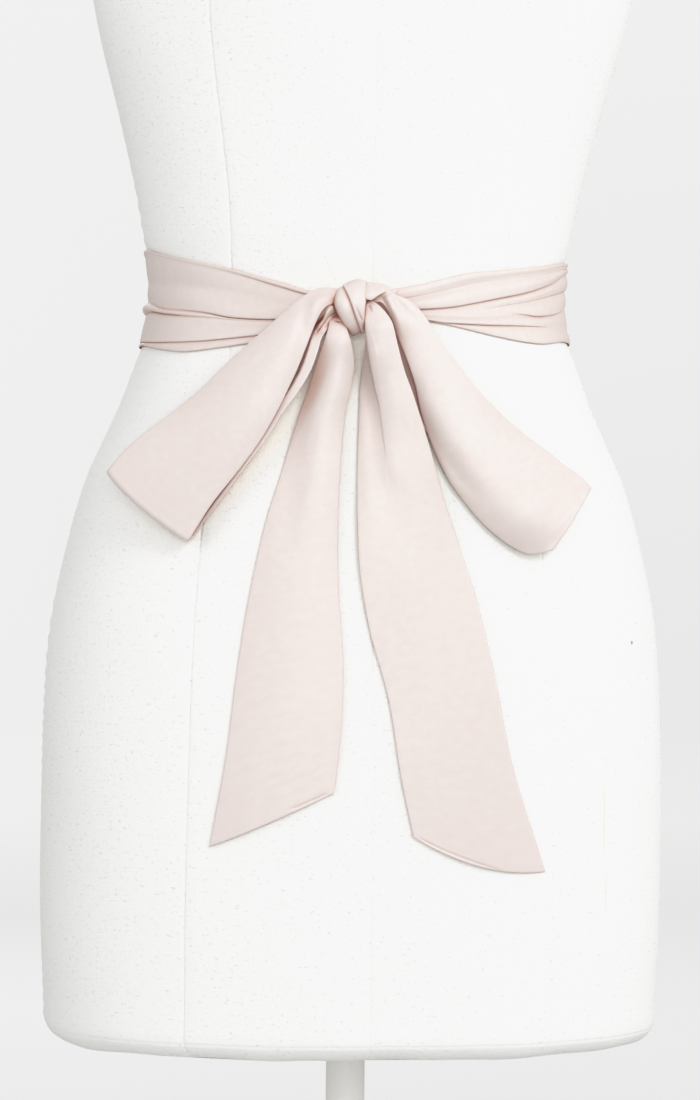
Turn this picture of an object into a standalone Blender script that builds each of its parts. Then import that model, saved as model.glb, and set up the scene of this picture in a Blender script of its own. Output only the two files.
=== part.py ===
"""A satin sash wound once round a limbless dress form and tied in a bow at the centre front.

Run with: blender --background --python part.py

Metres, +Z up, the origin on the floor under the middle of the stand, the form facing -Y and +X to
the right in a front view. The tables below are in millimetres. Their heights are measured from the
waist, and "forward" is the distance ahead of the form's own upright line.
"""
import math
from collections import namedtuple

import bmesh
import bpy

MM = 0.001
SEAM_GAP = 0.0003

# Stand
WAIST_HEIGHT = 0.665
FORM_FORWARD = 0.030
BASE_RADIUS = 0.200
BASE_RIM_HEIGHT = 0.008
BASE_CROWN_HEIGHT = 0.022
POLE_RADIUS = 0.011
BASE_BOSS_RADIUS = 0.033
BASE_BOSS_HEIGHT = 0.004
BASE_SLOPE_RADIUS = 0.110
BASE_SLOPE_RISE = 0.005
BASE_SHOULDER_RADIUS = 0.180
COLLAR_RADIUS = 0.024
COLLAR_HEIGHT = 0.012
EASED_EDGE = 0.001
CAP_RADIUS = 0.058
CAP_HEIGHT = 0.012
BASE_SIDES = 48
POLE_SIDES = 24
CAP_SIDES = 36

# Dress form
FORM_SIDES = 48
FORM_BOTTOM = -415
FORM_BOTTOM_ROLL = 16
FORM_ROLL_STEPS = 4
FORM_TOP = 480
WAIST_ROWS_REACH = 112
SHOULDER_ROWS_FROM = 330
SHOULDER_ROWS_TO = 440
FORM_ROW_SPACING = 46
FINE_ROW_SPACING = 14
BUST_HEIGHT = 182
BUST_HALF_SPACING = 78
BUST_RELIEF = 11
BUST_REACH = 42

# Sash: a strip of satin turned and pressed, so its wall is two layers of cloth
CLOTH = 0.0012
BAND_STAND_OFF = 1.15
KNOT_ANGLE = -8.0
BAND_END_GAP = 5.0
CLOTH_SEGMENTS = 8
BAND_SEGMENTS_ROUND = 76
BAND_SEGMENTS_UP = 10
LOOP_END_SHARE = 0.95
FADE_POWER = 0.6
LOOP_FRONT_ROWS = 22
LOOP_FOLD_ROWS = 5
LOOP_BACK_ROWS = 17
TAIL_ROWS = 28
WRAP_ROWS = 24
TURN_ROWS = 6

# Each as a share of the cap's radius and of its height, from its top down its outer side.
CapRing = namedtuple("CapRing", "radius height")
CAP_PROFILE = (
    CapRing(0.0, 1.0),
    CapRing(0.6, 0.95),
    CapRing(0.92, 0.75),
    CapRing(1.0, 0.4),
    CapRing(1.0, 0.0),
    CapRing(0.0, 0.0),
)

TorsoRing = namedtuple("TorsoRing", "height half_width front back widest squareness")
TORSO_RINGS = (
    TorsoRing(-399, 172, 113, 121, -10, 2.35),
    TorsoRing(-350, 174, 115, 127, -9, 2.35),
    TorsoRing(-290, 174, 117, 131, -8, 2.35),
    TorsoRing(-230, 173, 118, 131, -7, 2.35),
    TorsoRing(-180, 169, 117, 127, -6, 2.35),
    TorsoRing(-130, 159, 114, 116, -5, 2.3),
    TorsoRing(-100, 150, 110.5, 108, -4, 2.3),
    TorsoRing(-80, 141, 107, 102, -3, 2.25),
    TorsoRing(-60, 132, 104, 96, -2, 2.25),
    TorsoRing(-34, 122.5, 98.5, 90, -1, 2.2),
    TorsoRing(-22, 118, 96, 88, -1, 2.2),
    TorsoRing(0, 115, 93, 86, 0, 2.2),
    TorsoRing(16, 116, 93.5, 87, 2, 2.2),
    TorsoRing(30, 119, 94.5, 88, 4, 2.2),
    TorsoRing(60, 124.5, 98, 91, 8, 2.2),
    TorsoRing(100, 134, 105, 97, 14, 2.2),
    TorsoRing(140, 144.5, 112, 103, 21, 2.25),
    TorsoRing(168, 150, 115, 107, 26, 2.3),
    TorsoRing(215, 157, 112, 110, 24, 2.35),
    TorsoRing(300, 166, 88, 108, 4, 2.4),
    TorsoRing(345, 168, 68, 90, -6, 2.4),
    TorsoRing(375, 146, 59, 77, -6, 2.3),
    TorsoRing(395, 112, 56, 69, -4, 2.2),
    TorsoRing(415, 80, 54, 62, -2, 2.1),
    TorsoRing(440, 61, 54, 57, 0, 2.0),
    TorsoRing(480, 56, 56, 56, 0, 2.0),
)

# Angles run from the centre front, positive towards +X, all the way round to the knot again.
BandEdge = namedtuple("BandEdge", "angle top bottom")
BAND_EDGES = (
    BandEdge(-8, -3, -22),
    BandEdge(9, 1, -17),
    BandEdge(23, 6.5, -18),
    BandEdge(33, 10, -21.5),
    BandEdge(45, 12.5, -25.5),
    BandEdge(58, 15.5, -26.5),
    BandEdge(76, 20, -25),
    BandEdge(110, 23, -26),
    BandEdge(150, 24, -27),
    BandEdge(200, 23, -29),
    BandEdge(240, 24, -29),
    BandEdge(275, 25, -28),
    BandEdge(294, 20.5, -31.5),
    BandEdge(304, 15, -33.5),
    BandEdge(315, 10, -31.5),
    BandEdge(324, 5, -29),
    BandEdge(339, -3.5, -26),
    BandEdge(352, -3, -22),
)

# A fold is a soft ridge that starts and fades at its two angles and climbs from one height to the
# other.
BandFold = namedtuple("BandFold", "start end start_height end_height relief half_width")
BAND_FOLDS = (
    BandFold(4, 95, -6, 17, 1.8, 4.0),
    BandFold(30, 120, -12, 8, 1.8, 4.0),
    BandFold(38, 140, -17, -3, 1.6, 3.5),
    BandFold(14, 100, -14, -22, 1.4, 3.5),
    BandFold(110, 215, 14, 2, 1.8, 4.5),
    BandFold(125, 262, -12, -16, 2.0, 4.5),
    BandFold(180, 290, 12, 13, 1.6, 4.0),
    BandFold(215, 345, 1, -13, 2.8, 3.5),
    BandFold(262, 335, -18, -20, 1.6, 4.0),
)

# A row lies across the cloth, from one edge to the other, and arch is how far its middle swells.
LoopRow = namedtuple(
    "LoopRow", "upper_x upper_height upper_forward lower_x lower_height lower_forward arch"
)
LEFT_LOOP_FRONT = (
    LoopRow(-14, -4, 110.5, -14, -11, 112, 1),
    LoopRow(-23, -3, 112, -22.5, -10.5, 113.5, 1.5),
    LoopRow(-31, -3, 112, -26, -12, 115, 2),
    LoopRow(-43, -8.5, 110, -32, -20, 116, 4),
    LoopRow(-56, -21, 108, -36.5, -31.5, 116.5, 5),
    LoopRow(-71, -34, 105, -45, -49, 117, 6),
    LoopRow(-86.5, -49, 101, -54.5, -69, 116.5, 7),
    LoopRow(-103, -64, 96, -66.5, -91, 114, 7),
    LoopRow(-120, -77, 91, -80, -108.5, 110, 6),
    LoopRow(-132.5, -88, 87, -90.5, -121.5, 107, 6),
    LoopRow(-140, -96.5, 84.5, -96.5, -134, 104.5, 5),
)
LEFT_LOOP_BACK = (
    LoopRow(-139, -97, 80, -95.5, -134, 100.2, 5),
    LoopRow(-129, -90, 81, -85, -121, 103, 3),
    LoopRow(-115.5, -80, 83, -71.5, -98.5, 104.5, 1),
    LoopRow(-98.5, -67, 86, -56, -78.5, 105.5, -1),
    LoopRow(-82, -52.5, 90, -42, -58.5, 104.5, -2),
    LoopRow(-68, -38, 94, -33.5, -43.5, 104.5, -2),
    LoopRow(-54, -25, 97, -29.5, -30.5, 105, -2),
    LoopRow(-41.5, -14, 101, -25.5, -22.5, 105.5, -1),
    LoopRow(-30, -8, 103, -23.5, -17, 105, 0),
    LoopRow(-14, -6, 103, -14, -16, 104, 0),
)
RIGHT_LOOP_FRONT = (
    LoopRow(-13.6, -4, 110.5, -13.6, -14, 111, 1),
    LoopRow(4, -3.5, 111, 5.5, -16.5, 112.5, 1.5),
    LoopRow(13, -5.5, 111, 9.5, -23, 112.5, 3),
    LoopRow(24, -11.5, 110, 13.5, -35, 112, 4),
    LoopRow(36, -27.5, 108.5, 18.5, -48.5, 111.5, 6),
    LoopRow(48, -43.5, 107, 25, -71, 112.5, 7),
    LoopRow(62, -59, 106, 33.5, -88.5, 115, 7),
    LoopRow(78, -73.5, 103, 44, -107.5, 117, 7),
    LoopRow(95, -85.5, 99, 59.5, -124.5, 116, 7),
    LoopRow(110, -96, 94, 77.5, -139, 113, 7),
    LoopRow(121.5, -104, 90, 96.5, -139.5, 109, 6),
)
RIGHT_LOOP_BACK = (
    LoopRow(120.5, -105, 85.7, 95.5, -138.5, 104.7, 6),
    LoopRow(111, -98, 87.5, 83.5, -136, 106, 4),
    LoopRow(96, -87.5, 91.5, 68, -121.5, 108.5, 2),
    LoopRow(80, -76, 94, 52.5, -105, 109.5, 2),
    LoopRow(65, -62, 97, 41.5, -86, 108.5, 1),
    LoopRow(51.5, -47, 98, 32, -68.5, 106.5, 0),
    LoopRow(39, -32.5, 99.5, 24.5, -48, 104.5, 0),
    LoopRow(27.5, -18, 101.5, 17, -33, 103.5, 0),
    LoopRow(16, -10, 103, 11, -22.5, 103.5, 0),
    LoopRow(5, -7, 103, 5, -17.5, 104, 0),
    LoopRow(-13.6, -6, 103, -13.6, -16, 103.5, 0),
)
KNOT_WRAP = (
    LoopRow(-17.5, -0.5, 93.4, -6, 3, 93.7, 0),
    LoopRow(-18.5, 0.5, 106, -6, 4.5, 106, 0.5),
    LoopRow(-20.5, -0.5, 114, -6, 3.5, 114.5, 1),
    LoopRow(-22, -4, 118.5, -6.5, -1.5, 119, 1.5),
    LoopRow(-22, -11, 120, -7, -9, 120.5, 2),
    LoopRow(-20.5, -17.5, 118.5, -7, -16.5, 119, 1.5),
    LoopRow(-18, -23, 114, -5.5, -22.5, 114, 1),
    LoopRow(-15.5, -26, 107, -5, -25, 107, 0.5),
    LoopRow(-15, -26, 97.3, -5.5, -25, 97.3, 0),
)
KNOT_TURN = (
    LoopRow(-5.2, 2.5, 117, -5.2, -6.5, 117.5, 0.6),
    LoopRow(-0.5, 2, 117.5, -1, -5.5, 117.5, 1),
    LoopRow(4, 0.5, 116, 3, -3.5, 116, 0.6),
    LoopRow(6.5, -1.5, 114, 6.2, -2.8, 114.2, 0.2),
)

# Here out is how far the middle of the cloth stands off the form.
TailRow = namedtuple("TailRow", "left_x left_height left_out right_x right_height right_out arch")
LEFT_TAIL = (
    TailRow(-25, -26, 14, -15, -28, 14, 0.5),
    TailRow(-27, -28.5, 19, -13.5, -30, 20, 1),
    TailRow(-30, -33.5, 19.5, -12, -34.5, 20.5, 1.5),
    TailRow(-33, -42, 15.5, -11, -42, 16.5, 2),
    TailRow(-37.5, -55.5, 10.5, -13, -55.5, 11.5, 2.5),
    TailRow(-41, -69.5, 6.5, -16, -69.5, 7.5, 3),
    TailRow(-49.5, -100, 3, -18.5, -100, 3.5, 2.5),
    TailRow(-58, -127.5, 1.8, -19.5, -127.5, 2, 2),
    TailRow(-66.5, -167.5, 1.4, -19, -162, 1.5, 1.5),
    TailRow(-73, -210, 1.2, -16.5, -199, 1.3, 1),
    TailRow(-78, -252.5, 1.2, -17, -234.5, 1.3, 0.8),
    TailRow(-86, -299, 1.2, -20.5, -269.5, 1.2, 0.6),
)
RIGHT_TAIL = (
    TailRow(-6, -10, 23, -2, -9, 23, 0.2),
    TailRow(-5.5, -15.5, 23, 3, -12.5, 24, 0.5),
    TailRow(-4.2, -24, 23.5, 8, -18.5, 24, 1),
    TailRow(-5.5, -38, 20, 11, -31, 20.5, 1.5),
    TailRow(-7.5, -56, 15.5, 15, -44, 17.5, 2),
    TailRow(-8, -71, 11.5, 20, -58, 15.5, 2.5),
    TailRow(-9, -99, 6.5, 29.5, -86, 8, 3),
    TailRow(-9, -126.5, 4, 37, -112.5, 4.5, 2.5),
    TailRow(-7.5, -153.5, 2.5, 46.5, -140, 2.5, 2),
    TailRow(-2, -184.5, 1.6, 56, -169, 1.6, 1.5),
    TailRow(8, -220, 1.3, 66, -209.5, 1.3, 1),
    TailRow(15, -261, 1.2, 76.5, -257.5, 1.2, 0.8),
    TailRow(22, -293, 1.2, 95, -312.5, 1.2, 0.6),
)

Finish = namedtuple("Finish", "name colour roughness metallic")
SATIN = Finish("blush_satin", (0.88, 0.79, 0.75, 1.0), 0.42, 0.0)
CANVAS = Finish("white_canvas", (0.90, 0.90, 0.89, 1.0), 0.85, 0.0)
PAINTED_METAL = Finish("white_painted_metal", (0.86, 0.86, 0.86, 1.0), 0.40, 0.0)


def through(places, values, at):
    """A smooth curve through the rows of a table, level with its ends outside them."""
    at = min(max(at, places[0]), places[-1])
    row = 0
    while row < len(places) - 2 and at > places[row + 1]:
        row += 1
    slopes = []
    for point in (row, row + 1):
        before = max(point - 1, 0)
        after = min(point + 1, len(places) - 1)
        slopes.append((values[after] - values[before]) / (places[after] - places[before]))
    span = places[row + 1] - places[row]
    share = (at - places[row]) / span
    square = share * share
    cube = square * share
    value = values[row] * (2 * cube - 3 * square + 1)
    value += slopes[0] * span * (cube - 2 * square + share)
    value += values[row + 1] * (3 * square - 2 * cube)
    value += slopes[1] * span * (cube - square)
    return value


def read_table(table, key, at):
    """Every column of a table, read at one place along its key column, as a new row."""
    places = [getattr(row, key) for row in table]
    return type(table[0])(*(through(places, column, at) for column in zip(*table)))


def read_rows(table, share):
    """A table of evenly spaced rows, read at a share of its length, from 0 to 1."""
    places = list(range(len(table)))
    at = share * (len(table) - 1)
    return type(table[0])(*(through(places, column, at) for column in zip(*table)))


def between(first, second, share):
    """The value at a share of the way from the first to the second."""
    return first + (second - first) * share


def swell(share):
    """0 at both edges of a cloth and 1 at its middle."""
    return 4.0 * share * (1.0 - share)


def place(x, forward, height):
    """A point of the form's own frame, in millimetres, as a point of the world, in metres."""
    return (x * MM, -forward * MM - FORM_FORWARD, height * MM + WAIST_HEIGHT)


def section_reach(ring, angle):
    """Distance from a section's widest line to its outline, at an angle from the front."""
    across = abs(math.sin(angle)) / ring.half_width
    depth = ring.front - ring.widest if math.cos(angle) > 0 else ring.back + ring.widest
    along = abs(math.cos(angle)) / depth
    power = ring.squareness
    return (across ** power + along ** power) ** (-1.0 / power)


def bust_relief(x, height):
    """How far the two soft lobes of the bust stand out of the front."""
    relief = 0.0
    for side in (-1, 1):
        distance = math.hypot(x - side * BUST_HALF_SPACING, height - BUST_HEIGHT)
        relief += BUST_RELIEF * math.exp(-((distance / BUST_REACH) ** 2))
    return relief


def form_outline(angle, height, out=0.0):
    """A point on the form, or out from it, in the form's frame: x, forward and height."""
    ring = read_table(TORSO_RINGS, "height", height)
    reach = section_reach(ring, angle) + out
    x = reach * math.sin(angle)
    forward = ring.widest + reach * math.cos(angle)
    if math.cos(angle) > 0:
        forward += bust_relief(x, height) * math.cos(angle) ** 2
    return x, forward, height


def form_front(x, height):
    """How far forward the form's front is at a place across it."""
    ring = read_table(TORSO_RINGS, "height", height)
    share = min(abs(x) / ring.half_width, 0.999)
    depth = (1.0 - share ** ring.squareness) ** (1.0 / ring.squareness)
    return ring.widest + (ring.front - ring.widest) * depth


def make_material(finish):
    """A Principled material in the colour of the photograph."""
    material = bpy.data.materials.new(finish.name)
    material.use_nodes = True
    shader = material.node_tree.nodes["Principled BSDF"]
    shader.inputs["Base Color"].default_value = finish.colour
    shader.inputs["Roughness"].default_value = finish.roughness
    shader.inputs["Metallic"].default_value = finish.metallic
    material.diffuse_color = finish.colour
    return material


def finish_object(mesh_data, name, material, collection):
    """Link a named object, smooth shaded, with its own material."""
    mesh_data.materials.append(material)
    mesh_data.shade_smooth()
    obj = bpy.data.objects.new(name, mesh_data)
    collection.objects.link(obj)
    return obj


def grid_object(name, across, along, point, material, collection, closed=False):
    """A grid with each vertex moved to point(share across, share along)."""
    mesh = bmesh.new()
    bmesh.ops.create_grid(mesh, x_segments=across, y_segments=along, size=1.0)
    for vert in mesh.verts:
        vert.co = point((vert.co.x + 1.0) / 2.0, (vert.co.y + 1.0) / 2.0)
    if closed:
        bmesh.ops.remove_doubles(mesh, verts=mesh.verts, dist=1e-5)
        bmesh.ops.holes_fill(mesh, edges=mesh.edges, sides=0)
    bmesh.ops.recalc_face_normals(mesh, faces=mesh.faces)
    data = bpy.data.meshes.new(name)
    mesh.to_mesh(data)
    mesh.free()
    return finish_object(data, name, material, collection)


def thicken(obj):
    """Turn an open sheet into a cloth wall."""
    wall = obj.modifiers.new("cloth_wall", "SOLIDIFY")
    wall.thickness = CLOTH
    wall.offset = 0.0
    wall.use_even_offset = True
    wall.use_quality_normals = True


def turned_object(name, profile, sides, material, collection):
    """A solid of revolution from (radius, height) points that run down its outer side."""
    data = bpy.data.meshes.new(name)
    edges = [(index, index + 1) for index in range(len(profile) - 1)]
    data.from_pydata([(radius, 0.0, height) for radius, height in profile], edges, [])
    obj = finish_object(data, name, material, collection)
    screw = obj.modifiers.new("turning", "SCREW")
    screw.axis = "Z"
    screw.steps = sides
    screw.render_steps = sides
    screw.use_merge_vertices = True
    screw.merge_threshold = 1e-5
    screw.use_smooth_shade = True
    return obj


def form_heights():
    """Heights of the form's rows of faces, from its flat underside to its neck."""
    roll = []
    for step in range(FORM_ROLL_STEPS):
        turn = math.pi / 2.0 * (1.0 - step / FORM_ROLL_STEPS)
        roll.append(FORM_BOTTOM + FORM_BOTTOM_ROLL * (1.0 - math.sin(turn)))
    stretches = (
        (FORM_BOTTOM + FORM_BOTTOM_ROLL, -WAIST_ROWS_REACH, FORM_ROW_SPACING),
        (-WAIST_ROWS_REACH, WAIST_ROWS_REACH, FINE_ROW_SPACING),
        (WAIST_ROWS_REACH, SHOULDER_ROWS_FROM, FORM_ROW_SPACING),
        (SHOULDER_ROWS_FROM, SHOULDER_ROWS_TO, FINE_ROW_SPACING),
        (SHOULDER_ROWS_TO, FORM_TOP, FORM_ROW_SPACING),
    )
    rows = []
    for low, high, spacing in stretches:
        count = round((high - low) / spacing)
        rows += [between(low, high, step / count) for step in range(count)]
    return roll + rows + [FORM_TOP]


def form_inset(height):
    """How far the rounded lower edge draws in at a height."""
    below = FORM_BOTTOM + FORM_BOTTOM_ROLL - height
    if below <= 0:
        return 0.0
    return FORM_BOTTOM_ROLL - math.sqrt(max(FORM_BOTTOM_ROLL ** 2 - below ** 2, 0.0))


def build_form(material, collection):
    """The limbless form: a padded torso from its flat underside to the top of its neck."""
    heights = form_heights()

    def point(share_round, share_up):
        height = heights[round(share_up * (len(heights) - 1))]
        angle = 2.0 * math.pi * share_round
        return place(*form_outline(angle, height, -form_inset(height)))

    grid_object("form_torso", FORM_SIDES, len(heights) - 1, point, material, collection, True)


def build_neck_cap(material, collection):
    """A plain turned cap on the neck."""
    foot = WAIST_HEIGHT + FORM_TOP * MM + SEAM_GAP
    profile = [(ring.radius * CAP_RADIUS, foot + ring.height * CAP_HEIGHT) for ring in CAP_PROFILE]
    cap = turned_object("neck_cap", profile, CAP_SIDES, material, collection)
    cap.location.y = -FORM_FORWARD


def build_stand(material, collection):
    """The round base and the pole that carries the form."""
    base = (
        (0.0, BASE_CROWN_HEIGHT),
        (BASE_BOSS_RADIUS - BASE_BOSS_HEIGHT, BASE_CROWN_HEIGHT),
        (BASE_BOSS_RADIUS, BASE_CROWN_HEIGHT - BASE_BOSS_HEIGHT),
        (BASE_SLOPE_RADIUS, BASE_RIM_HEIGHT + BASE_SLOPE_RISE),
        (BASE_SHOULDER_RADIUS, BASE_RIM_HEIGHT + EASED_EDGE),
        (BASE_RADIUS - 2.0 * EASED_EDGE, BASE_RIM_HEIGHT - EASED_EDGE),
        (BASE_RADIUS, BASE_RIM_HEIGHT - 3.0 * EASED_EDGE),
        (BASE_RADIUS, 0.0),
        (0.0, 0.0),
    )
    turned_object("stand_base", base, BASE_SIDES, material, collection)
    foot = BASE_CROWN_HEIGHT + SEAM_GAP
    head = WAIST_HEIGHT + FORM_BOTTOM * MM - SEAM_GAP
    pole = (
        (0.0, head),
        (COLLAR_RADIUS - EASED_EDGE, head),
        (COLLAR_RADIUS, head - EASED_EDGE),
        (COLLAR_RADIUS, head - COLLAR_HEIGHT + EASED_EDGE),
        (COLLAR_RADIUS - EASED_EDGE, head - COLLAR_HEIGHT),
        (POLE_RADIUS, head - COLLAR_HEIGHT),
        (POLE_RADIUS, foot),
        (0.0, foot),
    )
    turned_object("stand_pole", pole, POLE_SIDES, material, collection)


def fold_relief(fold, angle, height):
    """How far one fold of the band stands out at an angle and a height."""
    if not fold.start < angle < fold.end:
        return 0.0
    share = (angle - fold.start) / (fold.end - fold.start)
    fade = math.sin(math.pi * share) ** FADE_POWER
    crest = between(fold.start_height, fold.end_height, share)
    return fold.relief * fade * math.exp(-(((height - crest) / fold.half_width) ** 2))


def build_band(material, collection):
    """The sash round the waist, whose two ends stop behind the knot."""
    first = KNOT_ANGLE + BAND_END_GAP / 2.0
    last = KNOT_ANGLE + 360.0 - BAND_END_GAP / 2.0

    def point(share_up, share_round):
        angle = between(first, last, share_round)
        edge = read_table(BAND_EDGES, "angle", angle)
        height = between(edge.bottom, edge.top, share_up)
        relief = sum(fold_relief(fold, angle, height) for fold in BAND_FOLDS)
        out = BAND_STAND_OFF + relief
        return place(*form_outline(math.radians(angle), height, out))

    band = grid_object(
        "waist_band", BAND_SEGMENTS_UP, BAND_SEGMENTS_ROUND, point, material, collection
    )
    thicken(band)


def strip_point(row, share):
    """A point across a row of a free strip: x, forward and height."""
    x = between(row.upper_x, row.lower_x, share)
    height = between(row.upper_height, row.lower_height, share)
    forward = between(row.upper_forward, row.lower_forward, share) + row.arch * swell(share)
    return x, forward, height


def build_strip(name, table, along, material, collection):
    """A strip that follows its table's rows from the first to the last."""

    def point(share_across, share_along):
        return place(*strip_point(read_rows(table, share_along), share_across))

    thicken(grid_object(name, CLOTH_SEGMENTS, along, point, material, collection))


def loop_rows(front, back):
    """Rows of a loop: out along its front layer, round the end fold and home along its back."""
    rows = [read_rows(front, step / LOOP_FRONT_ROWS) for step in range(LOOP_FRONT_ROWS + 1)]
    inner_row = read_rows(front, LOOP_END_SHARE)
    outward = [end - inner for end, inner in zip(front[-1], inner_row)]
    length = math.hypot(outward[0] + outward[3], outward[1] + outward[4]) / 2.0
    radius = (front[-1].lower_forward - back[0].lower_forward) / 2.0
    for step in range(1, LOOP_FOLD_ROWS):
        turn = math.pi * step / LOOP_FOLD_ROWS
        share = (1.0 - math.cos(turn)) / 2.0
        reach = radius * math.sin(turn) / length
        values = [between(a, b, share) for a, b in zip(front[-1], back[0])]
        for column in (0, 1, 3, 4):
            values[column] += outward[column] * reach
        rows.append(LoopRow(*values))
    rows += [read_rows(back, step / LOOP_BACK_ROWS) for step in range(LOOP_BACK_ROWS + 1)]
    return rows


def build_loop(name, front, back, material, collection):
    """One drooping loop of the bow: a front layer and a back layer joined by the end fold."""
    rows = loop_rows(front, back)

    def point(share_across, share_along):
        row = rows[round(share_along * (len(rows) - 1))]
        return place(*strip_point(row, share_across))

    thicken(grid_object(name, CLOTH_SEGMENTS, len(rows) - 1, point, material, collection))


def build_tail(name, table, material, collection):
    """One tail that hangs from the knot and then lies on the form down to its slanted end."""

    def point(share_across, share_along):
        row = read_rows(table, share_along)
        x = between(row.left_x, row.right_x, share_across)
        height = between(row.left_height, row.right_height, share_across)
        out = between(row.left_out, row.right_out, share_across) + row.arch * swell(share_across)
        return place(x, form_front(x, height) + out, height)

    thicken(grid_object(name, CLOTH_SEGMENTS, TAIL_ROWS, point, material, collection))


def build_all():
    """Clear the scene and build every piece."""
    for obj in list(bpy.data.objects):
        bpy.data.objects.remove(obj, do_unlink=True)
    collection = bpy.data.collections.new("satin_sash_on_a_dress_form")
    bpy.context.scene.collection.children.link(collection)
    satin = make_material(SATIN)
    canvas = make_material(CANVAS)
    metal = make_material(PAINTED_METAL)
    build_stand(metal, collection)
    build_form(canvas, collection)
    build_neck_cap(metal, collection)
    build_band(satin, collection)
    build_strip("knot_wrap", KNOT_WRAP, WRAP_ROWS, satin, collection)
    build_strip("knot_turn", KNOT_TURN, TURN_ROWS, satin, collection)
    build_loop("loop_left", LEFT_LOOP_FRONT, LEFT_LOOP_BACK, satin, collection)
    build_loop("loop_right", RIGHT_LOOP_FRONT, RIGHT_LOOP_BACK, satin, collection)
    build_tail("tail_left", LEFT_TAIL, satin, collection)
    build_tail("tail_right", RIGHT_TAIL, satin, collection)


build_all()
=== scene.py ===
"""The looks of a satin sash, wound once round a limbless dress form and tied in a bow.

Tables are in millimetres, in the form's own frame: x towards the right of a front view, height from
the waist, and forward from the form's upright line. The meshes are in metres, in the frame's axes.
"""
import logging
import math
from collections.abc import Sequence
from dataclasses import dataclass
from enum import Enum
from typing import ClassVar, NamedTuple

import bmesh
import bpy
import numpy as np
from mathutils import Matrix, Vector


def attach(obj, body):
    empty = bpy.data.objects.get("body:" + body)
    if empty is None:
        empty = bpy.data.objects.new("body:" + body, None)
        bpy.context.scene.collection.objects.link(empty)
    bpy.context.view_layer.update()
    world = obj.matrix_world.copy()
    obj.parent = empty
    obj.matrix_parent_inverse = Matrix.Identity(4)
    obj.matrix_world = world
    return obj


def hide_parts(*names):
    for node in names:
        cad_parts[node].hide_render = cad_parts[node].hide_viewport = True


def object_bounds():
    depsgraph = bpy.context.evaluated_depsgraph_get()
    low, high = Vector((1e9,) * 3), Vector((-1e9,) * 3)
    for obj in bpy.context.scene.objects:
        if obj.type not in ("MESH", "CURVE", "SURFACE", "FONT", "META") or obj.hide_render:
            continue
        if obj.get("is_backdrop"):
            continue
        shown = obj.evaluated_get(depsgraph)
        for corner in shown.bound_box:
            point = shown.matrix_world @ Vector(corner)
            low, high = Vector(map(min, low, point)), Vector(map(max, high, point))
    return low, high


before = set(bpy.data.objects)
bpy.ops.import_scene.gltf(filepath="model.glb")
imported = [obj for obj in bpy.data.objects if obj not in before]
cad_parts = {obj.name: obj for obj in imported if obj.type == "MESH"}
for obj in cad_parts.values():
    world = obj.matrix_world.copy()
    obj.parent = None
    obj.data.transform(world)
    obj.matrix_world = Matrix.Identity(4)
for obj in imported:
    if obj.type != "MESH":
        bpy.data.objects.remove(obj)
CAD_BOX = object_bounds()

Array = np.ndarray
Colour = tuple[float, float, float]
Socket = bpy.types.NodeSocket

LOG = logging.getLogger("satin_sash")
MM = 0.001
ROOT = "root"
WAIST_HEIGHT = 0.665
FORM_FORWARD = 0.030
SASH_WIDTH = 63.5
EDGE_GROWTH = (1.0, 2.4, 4.5)
JOIN_DISTANCE = 1e-5


class Layer(Enum):
    """Which layer of a loop a crease lies on."""

    FRONT = "front"
    BACK = "back"


def through(places: Sequence[float], values: Sequence[float], at: Array) -> Array:
    """Read a smooth curve through points, level with its ends outside them.

    Args:
        places: Where the points are, rising.
        values: The curve's value at each place.
        at: Where to read it.

    Returns:
        The curve's value at every place of `at`.
    """
    xs = np.asarray(places, dtype=float)
    ys = np.asarray(values, dtype=float)
    at = np.clip(at, xs[0], xs[-1])
    row = np.clip(np.searchsorted(xs, at, side="right") - 1, 0, len(xs) - 2)

    def slope(point: Array) -> Array:
        """Slope of the curve at one of its own points."""
        before = np.maximum(point - 1, 0)
        after = np.minimum(point + 1, len(xs) - 1)
        return (ys[after] - ys[before]) / (xs[after] - xs[before])

    span = xs[row + 1] - xs[row]
    share = (at - xs[row]) / span
    square = share * share
    cube = square * share
    value = ys[row] * (2 * cube - 3 * square + 1) + ys[row + 1] * (3 * square - 2 * cube)
    value += slope(row) * span * (cube - 2 * square + share) + slope(row + 1) * span * (cube - square)
    return value


def table(kind: type, *rows: Sequence[float]) -> tuple:
    """Rows of one kind, from their plain numbers."""
    return tuple(kind(*row) for row in rows)


def read_by(rows: Sequence[NamedTuple], key: str, at: Array) -> NamedTuple:
    """Read every column of a table at places along its key column."""
    places = [getattr(row, key) for row in rows]
    return type(rows[0])(*(through(places, column, at) for column in zip(*rows)))


def read_rows(rows: Sequence[NamedTuple], share: Array) -> NamedTuple:
    """Read every column of a table at shares of its length, from 0 to 1."""
    places = range(len(rows))
    at = np.asarray(share, dtype=float) * (len(rows) - 1)
    return type(rows[0])(*(through(places, column, at) for column in zip(*rows)))


def ramp(low: float, high: float, at: Array) -> Array:
    """0 below `low`, 1 above `high` and a soft rise between them."""
    share = np.clip((at - low) / (high - low), 0.0, 1.0)
    return share * share * (3.0 - 2.0 * share)


def swell(share: Array) -> Array:
    """0 at both edges of a cloth and 1 at its middle."""
    return 4.0 * share * (1.0 - share)


def stack(*parts: Array) -> Array:
    """Join coordinates into points along a new last axis."""
    return np.stack(np.broadcast_arrays(*parts), axis=-1)


def place(points: Array) -> Array:
    """Turn points of the form's frame, in millimetres, into metres in the frame's axes.

    Args:
        points: x, height and forward along the last axis.

    Returns:
        The same points as x, y and z in metres.
    """
    x, height, forward = points[..., 0], points[..., 1], points[..., 2]
    return stack(x * MM, -forward * MM - FORM_FORWARD, height * MM + WAIST_HEIGHT)


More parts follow.
